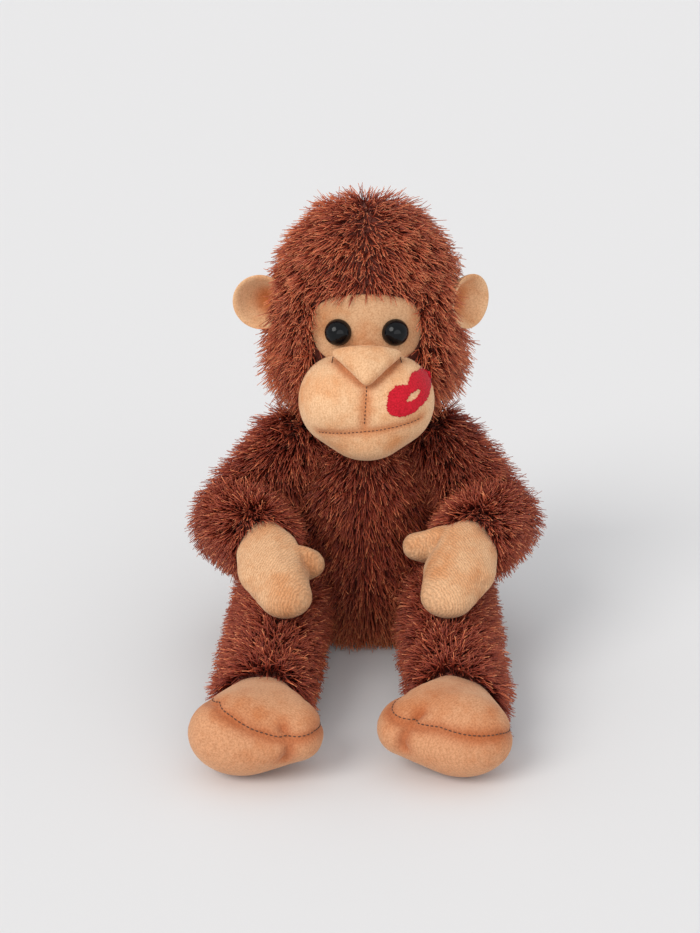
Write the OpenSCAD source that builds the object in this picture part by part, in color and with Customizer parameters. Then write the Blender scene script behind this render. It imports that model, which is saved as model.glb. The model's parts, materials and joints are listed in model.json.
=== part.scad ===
// Seated stuffed monkey: cloth covers, fibre filling, plastic eyes and sewn joints, in millimetres.
// Front is -Y, up is +Z, and the monkey's right side is at -X. It sits on the plane Z = 0, and the
// origin is in the middle of the floor area that it covers.

/* [Cloth and clearances] */
// Thickness of the fur cloth with its flattened pile
fur_cloth = 2.2; // [1.4:0.1:3.2]
// Thickness of the velour cloth
velour = 1.4; // [0.8:0.1:2]
// Free space between a cover and what fills it
fill_gap = 0.25; // [0.15:0.05:0.5]
// Width of the seams between two panels
seam_gap = 0.3; // [0.2:0.05:0.6]
// Free space between pieces that turn against each other
joint_gap = 0.4; // [0.3:0.05:0.8]

/* [Torso] */
// Width of the torso at the belly
torso_w = 76; // [63:1:92]
// Depth of the torso at the belly
torso_d = 66; // [55:1:80]
// Height of the torso from seat to collar
torso_h = 100; // [83:1:120]
// Share of the height at which the belly is widest
belly_level = 0.34; // [0.28:0.01:0.46]
// Width of the pellet bag
pellet_bag_w = 40; // [30:1:48]
// Height of the pellet bag
pellet_bag_h = 20; // [14:1:26]

/* [Head] */
// Width of the head
head_w = 82; // [68:1:99]
// Depth of the head
head_d = 80; // [67:1:96]
// Height of the head
head_h = 96; // [84:1:112]
// Share of the height at which the cheeks are widest
cheek_level = 0.36; // [0.3:0.01:0.44]
// Space between the collar and the underside of the head
neck_space = 7; // [5:0.5:10]
// Diameter of the neck
neck_d = 28; // [23:1:32]

/* [Face] */
// Width of the velour panel behind the eyes
face_w = 46; // [38:1:52]
// Height of the top edge of the face panel above the head's underside
face_top = 60; // [54:1:66]
// Width of the muzzle
muzzle_w = 58; // [48:1:66]
// Height of the muzzle
muzzle_h = 54; // [46:1:58]
// Depth of the muzzle
muzzle_d = 46; // [40:1:52]
// Height of the middle of the muzzle above the head's underside
muzzle_level = 12; // [9:1:17]
// Distance of the middle of the muzzle in front of the head's axis
muzzle_forward = 39; // [34:1:44]
// Drop of the mouth line below the middle of the muzzle
mouth_drop = 8; // [4:1:12]
// Slope of the mouth line
mouth_slope = 6; // [-10:1:10]
// Width of the folded nose
nose_w = 29; // [22:1:34]
// Height of the folded nose
nose_h = 12; // [9:1:15]
// Diameter of the eyes
eye_d = 12; // [9:0.5:14]
// Distance between the middles of the eyes
eye_spacing = 24.4; // [20:0.2:28]
// Height of the eyes above the head's underside
eye_level = 43.5; // [41:0.5:50]
// Diameter of the ribbed eye stems
stem_d = 3; // [2:0.2:4]
// Width of the lip print
lips_w = 25; // [16:1:26]
// Diameter of an ear
ear_d = 26; // [20:1:32]
// Height of the middle of the ears above the head's underside
ear_level = 50; // [42:1:58]
// Backward turn of the right ear
right_ear_turn = 4; // [0:1:40]
// Backward turn of the left ear
left_ear_turn = 38; // [0:1:40]

/* [Arms] */
// Diameter of the arm at the shoulder
shoulder_d = 28; // [24:1:31]
// Diameter of the arm at the elbow
elbow_d = 27; // [23:1:30]
// Diameter of the sleeve at the wrist
wrist_d = 25; // [22:1:28]
// How far the elbow stands out from the shoulder
elbow_out = 27; // [22:1:32]
// How far the elbow lies below the shoulder
elbow_drop = 30; // [25:1:36]
// How far the elbow lies in front of the shoulder
elbow_forward = 16; // [13:1:20]
// How far the wrist lies in front of the elbow
forearm_reach = 46; // [38:1:54]
// How far the wrist lies nearer the middle than the elbow
forearm_inward = 15; // [10:1:20]
// Length of a hand from wrist to fingertips
hand_l = 46; // [38:1:54]
// Width of a hand without its thumb
hand_w = 34; // [29:1:39]
// Thickness of a hand
hand_t = 19; // [16:1:22]
// Height of the wrist above the top of the thigh
wrist_lift = 24; // [22:1:30]

/* [Legs] */
// Diameter of the leg
leg_d = 36; // [30:1:42]
// Length of the leg from hip to ankle
leg_l = 122; // [102:1:146]
// Outward turn of the right leg
right_splay = 3; // [0:0.5:12]
// Outward turn of the left leg
left_splay = 0; // [0:0.5:12]
// Inward turn of the right foot
right_toe_in = 1; // [0:1:15]
// Inward turn of the left foot
left_toe_in = 14; // [0:1:15]
// Width of a foot with its big toe
foot_w = 52; // [44:1:60]
// Length of a foot from ankle to toe end
foot_l = 40; // [34:1:47]
// Height of a foot
foot_h = 35; // [29:1:40]

/* [Hidden] */

right = -1;
left = 1;
fur_colour = [0.48, 0.2, 0.11];
velour_colour = [0.87, 0.62, 0.38];
fibre_colour = [0.93, 0.92, 0.88];
thread_colour = [0.35, 0.2, 0.12];
eye_colour = [0.05, 0.05, 0.05];
lips_colour = [0.78, 0.07, 0.1];

// Facets round the soft pieces and round their filling
soft_facets = 18;
fill_facets = 14;
// Facets round the turned pieces
round_facets = 48;
far = 300;

// Travel of the soft joints that free space is cut for, in degrees
shoulder_travel = 34;
elbow_travel = 15;
hip_travel = 45;

// Heights of the head
head_z = torso_h + neck_space;
neck_pivot = [0, 0, torso_h + neck_space / 2];
neck_r = neck_d / 2;

// Middle of the muzzle and its half sizes
muzzle_at = [0, -muzzle_forward, head_z + muzzle_level];
muzzle_half = [muzzle_w, muzzle_d, muzzle_h] / 2;
mouth_z = muzzle_at.z - mouth_drop;
eye_z = head_z + eye_level;
ear_z = head_z + ear_level;

// Right arm: its pivots and the directions of its two lengths
shoulder_r = shoulder_d / 2;
elbow_r = elbow_d / 2;
wrist_r = wrist_d / 2;
hand_root_r = wrist_r - 1.5;
shoulder_at = [-torso_w / 2 + 5, 0, torso_h - shoulder_r];
elbow_at = shoulder_at + [-elbow_out, -elbow_forward, -elbow_drop];
wrist_at = [elbow_at.x + forearm_inward, elbow_at.y - forearm_reach, leg_d + wrist_lift];
shoulder_axis = [-cos(60), sin(60), 0];
// The upper arm is this much fuller half way
arm_bulge = 0.5;
// The sleeve ends this far before the wrist
hand_setback = 6;
// Fingertips from the wrist, and the gap between the hand and the thigh
finger_inward = 11;
finger_reach = 34;
hand_rest = 0.6;
elbow_axis = unit(cross(wrist_at - elbow_at, shoulder_at - elbow_at));
fingers_at = [wrist_at.x + finger_inward, wrist_at.y - finger_reach, leg_d + hand_t / 2 + hand_rest];
hand_pitch = atan2(wrist_at.z - fingers_at.z, norm([fingers_at.x - wrist_at.x, fingers_at.y - wrist_at.y]));
hand_yaw = atan2(fingers_at.x - wrist_at.x, wrist_at.y - fingers_at.y);

// Legs: the hips, and how far behind the ankle the sleeve ends
leg_r = leg_d / 2;
ankle_r = leg_r - 1;
hip_x = torso_w / 2 - 1;
hip_y = -10;
foot_root_r = ankle_r - 1.5;
sleeve_setback = 4.6;
leg_pitch = asin((leg_r - ankle_r) / leg_l);

// The torso's axis stands this far behind the middle of the whole toy
axis_y = (leg_l + foot_l - hip_y - head_d / 2) / 2;

function unit(v) = v / norm(v);
function turned(v, axis, angle) =
    v * cos(angle) + cross(axis, v) * sin(angle) + axis * (axis * v) * (1 - cos(angle));
function swell(u, power, root) = pow(max(1 - pow(abs(u), power), 0), root);

// Levels from 0 to 1, closer together at the two ends
function levels(n) = [for (i = [0:n]) 0.5 - 0.5 * cos(3 + 174 * i / n)];

// Share of the full width at level t of the torso and of the head
function torso_swell(t) = t < belly_level
    ? swell((belly_level - t) / belly_level, 2.6, 0.45)
    : swell((t - belly_level) / (1 - belly_level), 2.8, 0.52);
function head_swell(t) = t < cheek_level
    ? swell((cheek_level - t) / cheek_level, 2.3, 0.5)
    : swell((t - cheek_level) / (1 - cheek_level), 2.5, 0.5);

// The seat is pressed flat over this depth
seat_press = 4;
function torso_point(t, a, inset) = [
    (torso_w / 2 - inset) * torso_swell(t) * cos(a),
    (torso_d / 2 - inset) * torso_swell(t) * sin(a),
    max(inset, -seat_press + inset + t * (torso_h + seat_press - 2 * inset))
];
function head_point(t, a, inset) = [
    (head_w / 2 - inset) * head_swell(t) * cos(a),
    (head_d / 2 - inset) * head_swell(t) * sin(a),
    head_z + inset + t * (head_h - 2 * inset)
];

// Grid of points between two angles, one row for each level
function torso_grid(a0, a1, cols, rows, inset) = [
    for (t = levels(rows)) [for (c = [0:cols]) torso_point(t, a0 + (a1 - a0) * c / cols, inset)]
];
function head_grid(a0, a1, cols, rows, inset) = [
    for (t = levels(rows)) [for (c = [0:cols]) head_point(t, a0 + (a1 - a0) * c / cols, inset)]
];

// Two triangles for each cell between the point numbers a, b, c and d
function two_triangles(a, b, c, d) = [[a, b, c], [a, c, d]];

// A piece of cloth: the closed solid between an outer grid and an inner one
module cloth(outer, inner) {
    rows = len(outer) - 1;
    cols = len(outer[0]) - 1;
    layer = (rows + 1) * (cols + 1);
    function out(r, c) = r * (cols + 1) + c;
    function inn(r, c) = layer + out(r, c);
    points = [for (grid = [outer, inner]) for (row = grid) for (p = row) p];
    faces = [
        for (r = [0:rows - 1]) for (c = [0:cols - 1])
            each two_triangles(out(r, c), out(r + 1, c), out(r + 1, c + 1), out(r, c + 1)),
        for (r = [0:rows - 1]) for (c = [0:cols - 1])
            each two_triangles(inn(r, c), inn(r, c + 1), inn(r + 1, c + 1), inn(r + 1, c)),
        for (c = [0:cols - 1]) each two_triangles(out(0, c), out(0, c + 1), inn(0, c + 1), inn(0, c)),
        for (c = [0:cols - 1])
            each two_triangles(out(rows, c), inn(rows, c), inn(rows, c + 1), out(rows, c + 1)),
        for (r = [0:rows - 1]) each two_triangles(out(r, 0), inn(r, 0), inn(r + 1, 0), out(r + 1, 0)),
        for (r = [0:rows - 1])
            each two_triangles(out(r, cols), out(r + 1, cols), inn(r + 1, cols), inn(r, cols))
    ];
    polyhedron(points, faces);
}

// A filled form: a closed ring of points at each level, with flat ends
module filled(rings) {
    rows = len(rings) - 1;
    cols = len(rings[0]);
    function at(r, c) = r * cols + c % cols;
    faces = [
        for (r = [0:rows - 1]) for (c = [0:cols - 1])
            each two_triangles(at(r, c), at(r + 1, c), at(r + 1, c + 1), at(r, c + 1)),
        [for (c = [0:cols - 1]) at(0, c)],
        [for (c = [cols - 1:-1:0]) at(rows, c)]
    ];
    polyhedron([for (ring = rings) for (p = ring) p], faces);
}

module torso_form(inset) {
    filled([for (t = levels(10)) [for (a = [0:18:342]) torso_point(t, a, inset)]]);
}

module head_form(inset) {
    filled([for (t = levels(12)) [for (a = [0:15:345]) head_point(t, a, inset)]]);
}

// Soft pieces are worked as one mesh, because their cloth is a free form
module sewn() {
    resize([0, 0, 0]) children();
}

// The filling of a limb has fewer facets than its cover
module fibre() {
    $facets = fill_facets;
    color(fibre_colour) sewn() children();
}

$facets = soft_facets;

module ball(at, r) {
    translate(at) sphere(r, $fn = $facets);
}

module egg(at, half) {
    translate(at) scale(half) sphere(1, $fn = $facets);
}

// Built for the right side, and mirrored for the left
module on_side(side) {
    mirror([side == left ? 1 : 0, 0, 0]) children();
}

// Keeps what lies on one side of the middle seam
module half_space(side) {
    translate([side * (far / 2 + seam_gap / 2), 0, 0]) cube(far, center = true);
}

// ---- Free space that the turning limbs sweep ----

module shoulder_sweep(grow) {
    $facets = soft_facets;
    arm = elbow_at - shoulder_at;
    hull() {
        ball(shoulder_at, shoulder_r + grow);
        for (angle = [0, shoulder_travel / 2, shoulder_travel]) {
            ball(shoulder_at + turned(arm, shoulder_axis, angle), shoulder_r + grow);
            ball(shoulder_at + turned(arm / 2, shoulder_axis, angle), shoulder_r + arm_bulge + grow);
        }
    }
}

module elbow_sweep(grow) {
    $facets = soft_facets;
    forearm = wrist_at - elbow_at;
    hull() {
        ball(elbow_at, elbow_r + grow);
        for (angle = [0, elbow_travel])
            ball(elbow_at + turned(forearm, elbow_axis, angle), elbow_r + grow);
    }
}

module hip_sweep(side, grow) {
    $facets = soft_facets;
    leg_frame(side) hull() {
        ball([0, 0, 0], leg_r + grow);
        for (angle = [0, hip_travel / 2, hip_travel])
            ball([0, -cos(angle), -sin(angle)] * leg_l / 2, leg_r + grow);
    }
}

module limb_sweeps(grow) {
    for (side = [right, left]) {
        on_side(side) shoulder_sweep(grow);
        hip_sweep(side, grow);
    }
    ball(neck_pivot, neck_r + grow);
}

// ---- Torso ----

module torso_panel(side, a0, back) {
    color(fur_colour) sewn() difference() {
        translate([side * seam_gap / 2, (back ? 1 : -1) * seam_gap / 2, 0])
            cloth(torso_grid(a0, a0 + 90, 6, 11, 0), torso_grid(a0, a0 + 90, 6, 11, fur_cloth));
        limb_sweeps(joint_gap);
    }
}

module torso_stuffing() {
    color(fibre_colour) sewn() difference() {
        torso_form(fibre_inset);
        limb_sweeps(joint_gap + fill_gap);
        hull() {
            pellet_form(fill_gap);
            translate([0, 0, -pellet_bag_h]) pellet_form(fill_gap);
        }
    }
}

// The filling keeps this far inside the outer surface, and the pellet bag lies on the seat
fibre_inset = fur_cloth + seam_gap + 3 * fill_gap;
pellet_bag_at = [0, 8, fibre_inset + pellet_bag_h / 2];

module pellet_form(grow) {
    egg(pellet_bag_at, [pellet_bag_w / 2 + grow, pellet_bag_w * 0.36 + grow, pellet_bag_h / 2 + grow]);
}

module pellet_bag() {
    color("tan") sewn() pellet_form(0);
}

// Ladder stitches across the middle seam of the back
module closing_stitches() {
    stitch_rows = 9;
    stitch_l = 3.2;
    lowest_level = 0.34;
    level_step = 0.034;
    for (i = [0:stitch_rows - 1]) {
        t = lowest_level + level_step * i;
        p = torso_point(t, 90, 0);
        color(thread_colour) translate([-stitch_l / 2, p.y + stitch_d + seam_gap, p.z])
            rotate([0, 90, 0]) cylinder(h = stitch_l, d = stitch_d, $fn = 16);
    }
}

// ---- Neck ----

module neck_sleeve() {
    color(fur_colour) translate(neck_pivot) difference() {
        sphere(neck_r, $fn = round_facets);
        sphere(neck_r - fur_cloth, $fn = round_facets);
    }
}

module neck_stuffing() {
    color(fibre_colour) translate(neck_pivot)
        sphere(neck_r - fur_cloth - fill_gap, $fn = round_facets);
}

// ---- Head ----

module face_outline(grow) {
    corner_r = 15;
    face_bottom = muzzle_level + 16;
    translate([0, 0, head_z]) rotate([90, 0, 0]) linear_extrude(far) hull() {
        for (side = [right, left])
            translate([side * (face_w / 2 - corner_r), face_top - corner_r])
                circle(corner_r + grow, $fn = 32);
        translate([-face_w / 2 - grow, face_bottom - grow])
            square([face_w + 2 * grow, 1]);
    }
}

module muzzle_form(grow) {
    egg(muzzle_at, muzzle_half + grow * [1, 1, 1]);
}

module head_side(side) {
    a0 = side == right ? 90 : -90;
    color(fur_colour) sewn() difference() {
        translate([side * seam_gap / 2, 0, 0])
            cloth(head_grid(a0, a0 + 180, 12, 12, 0), head_grid(a0, a0 + 180, 12, 12, fur_cloth));
        face_outline(seam_gap);
        muzzle_form(seam_gap);
        ball(neck_pivot, neck_r + joint_gap);
    }
}

module face_panel() {
    color(velour_colour) sewn() difference() {
        intersection() {
            cloth(head_grid(-135, -45, 6, 12, 0), head_grid(-135, -45, 6, 12, velour));
            face_outline(0);
        }
        muzzle_form(seam_gap);
        for (side = [right, left]) on_side(side) eye_frame() rotate([90, 0, 0])
            cylinder(h = 20, d = stem_d + 0.5, center = true, $fn = 20);
    }
}

// Above the mouth line, or below it
module mouth_side(above) {
    translate([0, 0, mouth_z]) rotate([0, -mouth_slope, 0])
        translate([0, 0, (above ? 1 : -1) * (far / 2 + seam_gap / 2)]) cube(far, center = true);
}

module muzzle_shell() {
    difference() {
        muzzle_form(0);
        muzzle_form(-velour);
        head_form(-seam_gap);
    }
}

module muzzle_panel(side) {
    color(velour_colour) sewn() intersection() {
        muzzle_shell();
        half_space(side);
        mouth_side(true);
    }
}

module chin_panel() {
    color(velour_colour) sewn() intersection() {
        muzzle_shell();
        mouth_side(false);
    }
}

module muzzle_stuffing() {
    color(fibre_colour) sewn() difference() {
        muzzle_form(-velour - fill_gap);
        head_form(fur_cloth);
    }
}

module head_stuffing() {
    color(fibre_colour) sewn() difference() {
        head_form(fibre_inset);
        ball(neck_pivot, neck_r + joint_gap);
        for (side = [right, left]) on_side(side) eye_frame() rotate([-90, 0, 0])
            translate([0, 0, -2]) cylinder(h = stem_l + 3, d = washer_d + 1, $fn = 24);
    }
}

nose_r = 2.6;

module nose_fold() {
    nose_top = muzzle_at.z + muzzle_half.z - 2;
    corner = [nose_w / 2 - nose_r, -muzzle_forward - 6, nose_top - 1.5];
    crest = [0, -muzzle_forward - 11, nose_top];
    tip = muzzle_front(0, nose_top + nose_r - nose_h, 0.6);
    color(velour_colour) sewn() difference() {
        hull() {
            ball(corner, nose_r);
            ball([-corner.x, corner.y, corner.z], nose_r);
            ball(crest, nose_r);
            ball(tip, nose_r);
        }
        muzzle_form(seam_gap);
        head_form(-seam_gap);
    }
}

// Point on the muzzle at a height and a distance from the middle
function muzzle_front(x, z, lift) = let (
    dx = x / muzzle_half.x,
    dz = (z - muzzle_at.z) / muzzle_half.z
) [x, muzzle_at.y - (muzzle_half.y + lift) * sqrt(max(1 - dx * dx - dz * dz, 0)), z];

stitch_d = 0.7;

module stitch(from, to) {
    half = (to - from) / 2;
    translate(from + half)
        rotate([0, acos(half.z / norm(half)), atan2(half.y, half.x)])
            cylinder(h = norm(half) * 1.3, d = stitch_d, center = true, $fn = 16);
}

// Running stitches down the middle of the muzzle and along the mouth
module mouth_stitches() {
    down = [for (i = [0:12]) muzzle_front(0, muzzle_at.z + 12 - 1.45 * i, 1)];
    across = [
        for (i = [-8:8]) let (x = 2.9 * i)
            muzzle_front(x, mouth_z + x * tan(mouth_slope), 1.1)
    ];
    color(thread_colour) {
        for (i = [0:2:len(down) - 2]) stitch(down[i], down[i + 1]);
        for (i = [0:2:len(across) - 2]) stitch(across[i], across[i + 1]);
    }
}

// A bar tack at each corner of the nose
module nose_stitches() {
    z = muzzle_at.z + muzzle_half.z - 4;
    for (side = [right, left]) {
        x = side * (nose_w / 2 + 0.2);
        y = -muzzle_forward - 8;
        color(thread_colour) stitch([x, y, z], [x + side * 0.6, y - 1.5, z - 2]);
    }
}

stem_l = 12;
washer_d = eye_d + 1;
washer_t = 1.4;
eye_turn = 12;

// Frame at the back of the right eye, with -Y along its gaze
module eye_frame() {
    back = head_point((eye_z - head_z) / head_h, -90, 0);
    side_drop = head_d / 2 * pow(eye_spacing / head_w, 2) / 2;
    translate([-eye_spacing / 2, back.y + side_drop, eye_z])
        rotate([0, 0, -eye_turn]) translate([0, -0.9, 0]) children();
}

module eye(side) {
    color(eye_colour) on_side(side) eye_frame() union() {
        intersection() {
            sphere(d = eye_d, $fn = round_facets);
            rotate([90, 0, 0]) cylinder(h = eye_d, d = eye_d + 1, $fn = round_facets);
        }
        rotate([-90, 0, 0]) translate([0, 0, -1]) cylinder(h = stem_l + 1, d = stem_d, $fn = 24);
    }
}

module eye_washer(side) {
    washer_fit = 0.1;
    color("white") on_side(side) eye_frame() rotate([-90, 0, 0]) translate([0, 0, 4.2])
        difference() {
            cylinder(h = washer_t, d = washer_d, $fn = round_facets);
            translate([0, 0, -1])
                cylinder(h = washer_t + 2, d = stem_d + 2 * washer_fit, $fn = 24);
        }
}

// Flat outline of a pair of parted lips, one unit wide
module lips_outline() {
    lip = 0.16;
    difference() {
        union() {
            for (side = [-1, 1]) hull() {
                translate([side * 0.12, 0.16]) circle(lip, $fn = 24);
                translate([side * 0.36, 0.02]) circle(0.12, $fn = 24);
            }
            hull() {
                translate([-0.4, 0]) circle(0.08, $fn = 24);
                translate([0, -0.14]) scale([1.7, 1]) circle(0.18, $fn = 28);
                translate([0.4, 0]) circle(0.08, $fn = 24);
            }
        }
        scale([0.2, 0.06]) circle(1, $fn = 24);
    }
}

module kiss_patch() {
    patch_t = 0.7;
    patch_lift = 0.2;
    patch_lean = 38;
    spot = muzzle_front(21, muzzle_at.z + 8, 0);
    color(lips_colour) sewn() intersection() {
        difference() {
            muzzle_form(patch_t + patch_lift);
            muzzle_form(patch_lift);
        }
        translate(spot) rotate([70, 0, 38]) rotate([0, 0, patch_lean])
            linear_extrude(20 * patch_t, center = true) scale(lips_w) lips_outline();
    }
}

// ---- Ears ----

ear_hinge_x = head_w / 2 + 1.2;

ear_root = 7;
bowl_r = 22;
bowl_depth = sqrt(bowl_r * bowl_r - ear_d * ear_d / 4);

// One layer of the cupped ear, between two radii of its bowl, cut straight at its root
module ear_layer(side, outer_r, inner_r, rim_r) {
    turn = side == right ? right_ear_turn : left_ear_turn;
    color(velour_colour) on_side(side) difference() {
        translate([-ear_hinge_x, 0, ear_z]) rotate([0, 0, -turn])
            translate([ear_root - ear_d / 2, -bowl_depth, 0]) intersection() {
                difference() {
                    sphere(outer_r, $fn = round_facets);
                    sphere(inner_r, $fn = round_facets);
                }
                rotate([-90, 0, 0]) cylinder(h = far, r = rim_r, $fn = round_facets);
            }
        translate([far / 2 - ear_hinge_x, 0, ear_z]) cube(far, center = true);
    }
}

module ear_back(side) {
    ear_layer(side, bowl_r, bowl_r - velour, ear_d / 2);
}

module ear_front(side) {
    inner = bowl_r - velour - fill_gap;
    ear_layer(side, inner, inner - velour, ear_d / 2 - 0.6);
}

// ---- Arms ----

module upper_arm_form(inset) {
    hull() {
        ball(shoulder_at, shoulder_r - inset);
        ball((shoulder_at + elbow_at) / 2, shoulder_r + arm_bulge - inset);
        ball(elbow_at, elbow_r - inset);
    }
}

module forearm_form(inset) {
    hull() {
        ball(elbow_at, elbow_r - inset);
        ball(wrist_at, wrist_r - inset);
    }
}

module upper_arm(side) {
    color(fur_colour) on_side(side) sewn() difference() {
        upper_arm_form(0);
        upper_arm_form(fur_cloth);
        elbow_sweep(joint_gap);
    }
}

module upper_arm_stuffing(side) {
    on_side(side) fibre() difference() {
        upper_arm_form(fur_cloth + fill_gap);
        elbow_sweep(joint_gap);
    }
}

// Space beyond the end of the sleeve, where the hand turns
module hand_space() {
    $facets = soft_facets;
    along = unit(wrist_at - elbow_at);
    union() {
        ball(wrist_at, hand_root_r + joint_gap);
        translate(wrist_at - along * hand_setback)
            rotate([0, acos(along.z), atan2(along.y, along.x)])
                cylinder(h = 40, r = 30, $fn = soft_facets);
    }
}

module forearm(side) {
    color(fur_colour) on_side(side) sewn() difference() {
        forearm_form(0);
        forearm_form(fur_cloth);
        hand_space();
    }
}

module forearm_stuffing(side) {
    on_side(side) fibre() difference() {
        forearm_form(fur_cloth + fill_gap);
        hand_space();
    }
}

// Frame at the wrist, with -Y towards the fingertips and +Z through the back of the hand
module hand_frame() {
    translate(wrist_at) rotate([0, 0, hand_yaw]) rotate([hand_pitch, 0, 0]) children();
}

module hand_form(inset) {
    palm_at = -hand_l * 0.4;
    tip_r = hand_t / 2 - 1;
    thumb_r = 5.5;
    hull() {
        ball([0, 0, 0], hand_root_r - inset);
        egg([0, palm_at, 0], [hand_w / 2 - inset, hand_w / 2 - inset, hand_t / 2 - inset]);
        egg([0, tip_r + 3 - hand_l, 0], [hand_w * 0.38 - inset, tip_r + 3 - inset, tip_r - inset]);
    }
    hull() {
        ball([hand_w * 0.2, palm_at + 3, 0], thumb_r + 1.5 - inset);
        ball([hand_w / 2 + 3, palm_at + 1, 0], thumb_r - inset);
    }
}

module hand_panel(side, back) {
    color(velour_colour) on_side(side) hand_frame() sewn() intersection() {
        difference() {
            hand_form(0);
            hand_form(velour);
        }
        translate([0, 0, (back ? 1 : -1) * (far / 2 + seam_gap / 2)]) cube(far, center = true);
    }
}

module hand_stuffing(side) {
    on_side(side) hand_frame() fibre() hand_form(velour + fill_gap);
}

// ---- Legs ----

// Frame at the hip, with -Y along the leg
module leg_frame(side) {
    splay = side == right ? -right_splay : left_splay;
    translate([side * hip_x, hip_y, leg_r]) rotate([leg_pitch, 0, splay]) children();
}

module leg_form(inset) {
    hull() {
        ball([0, 0, 0], leg_r - inset);
        ball([0, -leg_l, 0], ankle_r - inset);
    }
}

// Space beyond the end of the sleeve, where the foot turns
module foot_space(grow) {
    $facets = soft_facets;
    union() {
        ball([0, -leg_l, 0], foot_root_r + joint_gap + grow);
        translate([0, sleeve_setback + grow - leg_l - far / 2, 0]) cube(far, center = true);
    }
}

module leg_sleeve(side) {
    color(fur_colour) leg_frame(side) sewn() difference() {
        leg_form(0);
        leg_form(fur_cloth);
        foot_space(0);
    }
}

module leg_stuffing(side) {
    leg_frame(side) fibre() difference() {
        leg_form(fur_cloth + fill_gap);
        foot_space(2 * fill_gap);
    }
}

// Frame at the ankle, with -Y towards the toe end and +X towards the big toe
module foot_frame(side) {
    toe_in = side == right ? right_toe_in : -left_toe_in;
    leg_frame(side) translate([0, -leg_l, 0]) rotate([-leg_pitch, 0, toe_in])
        mirror([side == left ? 1 : 0, 0, 0]) children();
}

module foot_form(inset) {
    toe_half = foot_w * 0.2;
    main_half = foot_w * 0.4;
    depth = foot_l * 0.42;
    hull() {
        ball([0, 0, 0], foot_root_r - inset);
        egg([main_half - foot_w / 2, depth - foot_l, foot_h / 2 - ankle_r],
            [main_half - inset, depth - inset, foot_h / 2 - inset]);
    }
    hull() {
        egg([main_half - foot_w / 2, depth - foot_l, foot_h / 2 - ankle_r],
            [main_half * 0.9 - inset, depth * 0.8 - inset, foot_h * 0.38 - inset]);
        egg([foot_w / 2 - toe_half, depth - foot_l, -1],
            [toe_half - inset, depth * 0.95 - inset, foot_h * 0.4 - inset]);
    }
}

// The seam runs across the toe end, above its middle
sole_seam_z = 4;

module foot_panel(side, top) {
    color(velour_colour) foot_frame(side) sewn() intersection() {
        difference() {
            foot_form(0);
            foot_form(velour);
        }
        translate([0, 0, sole_seam_z]) rotate([0, 8, 0])
            translate([0, 0, (top ? 1 : -1) * (far / 2 + seam_gap / 2)]) cube(far, center = true);
    }
}

module foot_stuffing(side) {
    foot_frame(side) fibre() foot_form(velour + fill_gap);
}

// Seam thread across the toe end
module foot_stitches(side) {
    main_half = foot_w * 0.4;
    depth = foot_l * 0.42;
    middle = main_half - foot_w / 2;
    function toe_end(x) =
        depth - foot_l - (depth + 1.4) * sqrt(1 - pow((x - middle) / main_half, 2));
    path = [
        for (i = [-5:5]) let (x = middle + 3 * i)
            [x, toe_end(x), sole_seam_z - x * tan(8)]
    ];
    color(thread_colour) foot_frame(side)
        for (i = [0:2:len(path) - 2]) stitch(path[i], path[i + 1]);
}

// Every piece is modelled about the torso's axis, then set back by the same amount
module placed() {
    translate([0, axis_y, 0]) children();
}

placed() torso_panel(right, 180, false);  // torso_front_right
placed() torso_panel(left, 270, false);  // torso_front_left
placed() torso_panel(right, 90, true);  // torso_back_right
placed() torso_panel(left, 0, true);  // torso_back_left
placed() torso_stuffing();
placed() pellet_bag();
placed() closing_stitches();
placed() neck_sleeve();
placed() neck_stuffing();
placed() head_side(right);  // head_side_right
placed() head_side(left);  // head_side_left
placed() face_panel();
placed() muzzle_panel(right);  // muzzle_right
placed() muzzle_panel(left);  // muzzle_left
placed() chin_panel();
placed() head_stuffing();
placed() muzzle_stuffing();
placed() nose_fold();
placed() nose_stitches();
placed() mouth_stitches();
placed() eye(right);  // eye_right
placed() eye(left);  // eye_left
placed() eye_washer(right);  // eye_right_washer
placed() eye_washer(left);  // eye_left_washer
placed() kiss_patch();
placed() ear_front(right);  // ear_right_front
placed() ear_back(right);  // ear_right_back
placed() ear_front(left);  // ear_left_front
placed() ear_back(left);  // ear_left_back
placed() upper_arm(right);  // upper_arm_right
placed() upper_arm(left);  // upper_arm_left
placed() upper_arm_stuffing(right);  // upper_arm_stuffing_right
placed() upper_arm_stuffing(left);  // upper_arm_stuffing_left
placed() forearm(right);  // forearm_right
placed() forearm(left);  // forearm_left
placed() forearm_stuffing(right);  // forearm_stuffing_right
placed() forearm_stuffing(left);  // forearm_stuffing_left
placed() hand_panel(right, true);  // hand_back_right
placed() hand_panel(left, true);  // hand_back_left
placed() hand_panel(right, false);  // hand_palm_right
placed() hand_panel(left, false);  // hand_palm_left
placed() hand_stuffing(right);  // hand_stuffing_right
placed() hand_stuffing(left);  // hand_stuffing_left
placed() leg_sleeve(right);  // leg_sleeve_right
placed() leg_sleeve(left);  // leg_sleeve_left
placed() leg_stuffing(right);  // leg_stuffing_right
placed() leg_stuffing(left);  // leg_stuffing_left
placed() foot_panel(right, true);  // foot_top_right
placed() foot_panel(left, true);  // foot_top_left
placed() foot_panel(right, false);  // foot_sole_right
placed() foot_panel(left, false);  // foot_sole_left
placed() foot_stuffing(right);  // foot_stuffing_right
placed() foot_stuffing(left);  // foot_stuffing_left
placed() foot_stitches(right);  // foot_stitches_right
placed() foot_stitches(left);  // foot_stitches_left
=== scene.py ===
"""A seated stuffed monkey: sewn and filled covers, velour face, hands and feet, and a long brushed pile."""
import json
import math

import bpy
import numpy as np
from mathutils import Matrix, Vector
from mathutils.bvhtree import BVHTree


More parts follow.
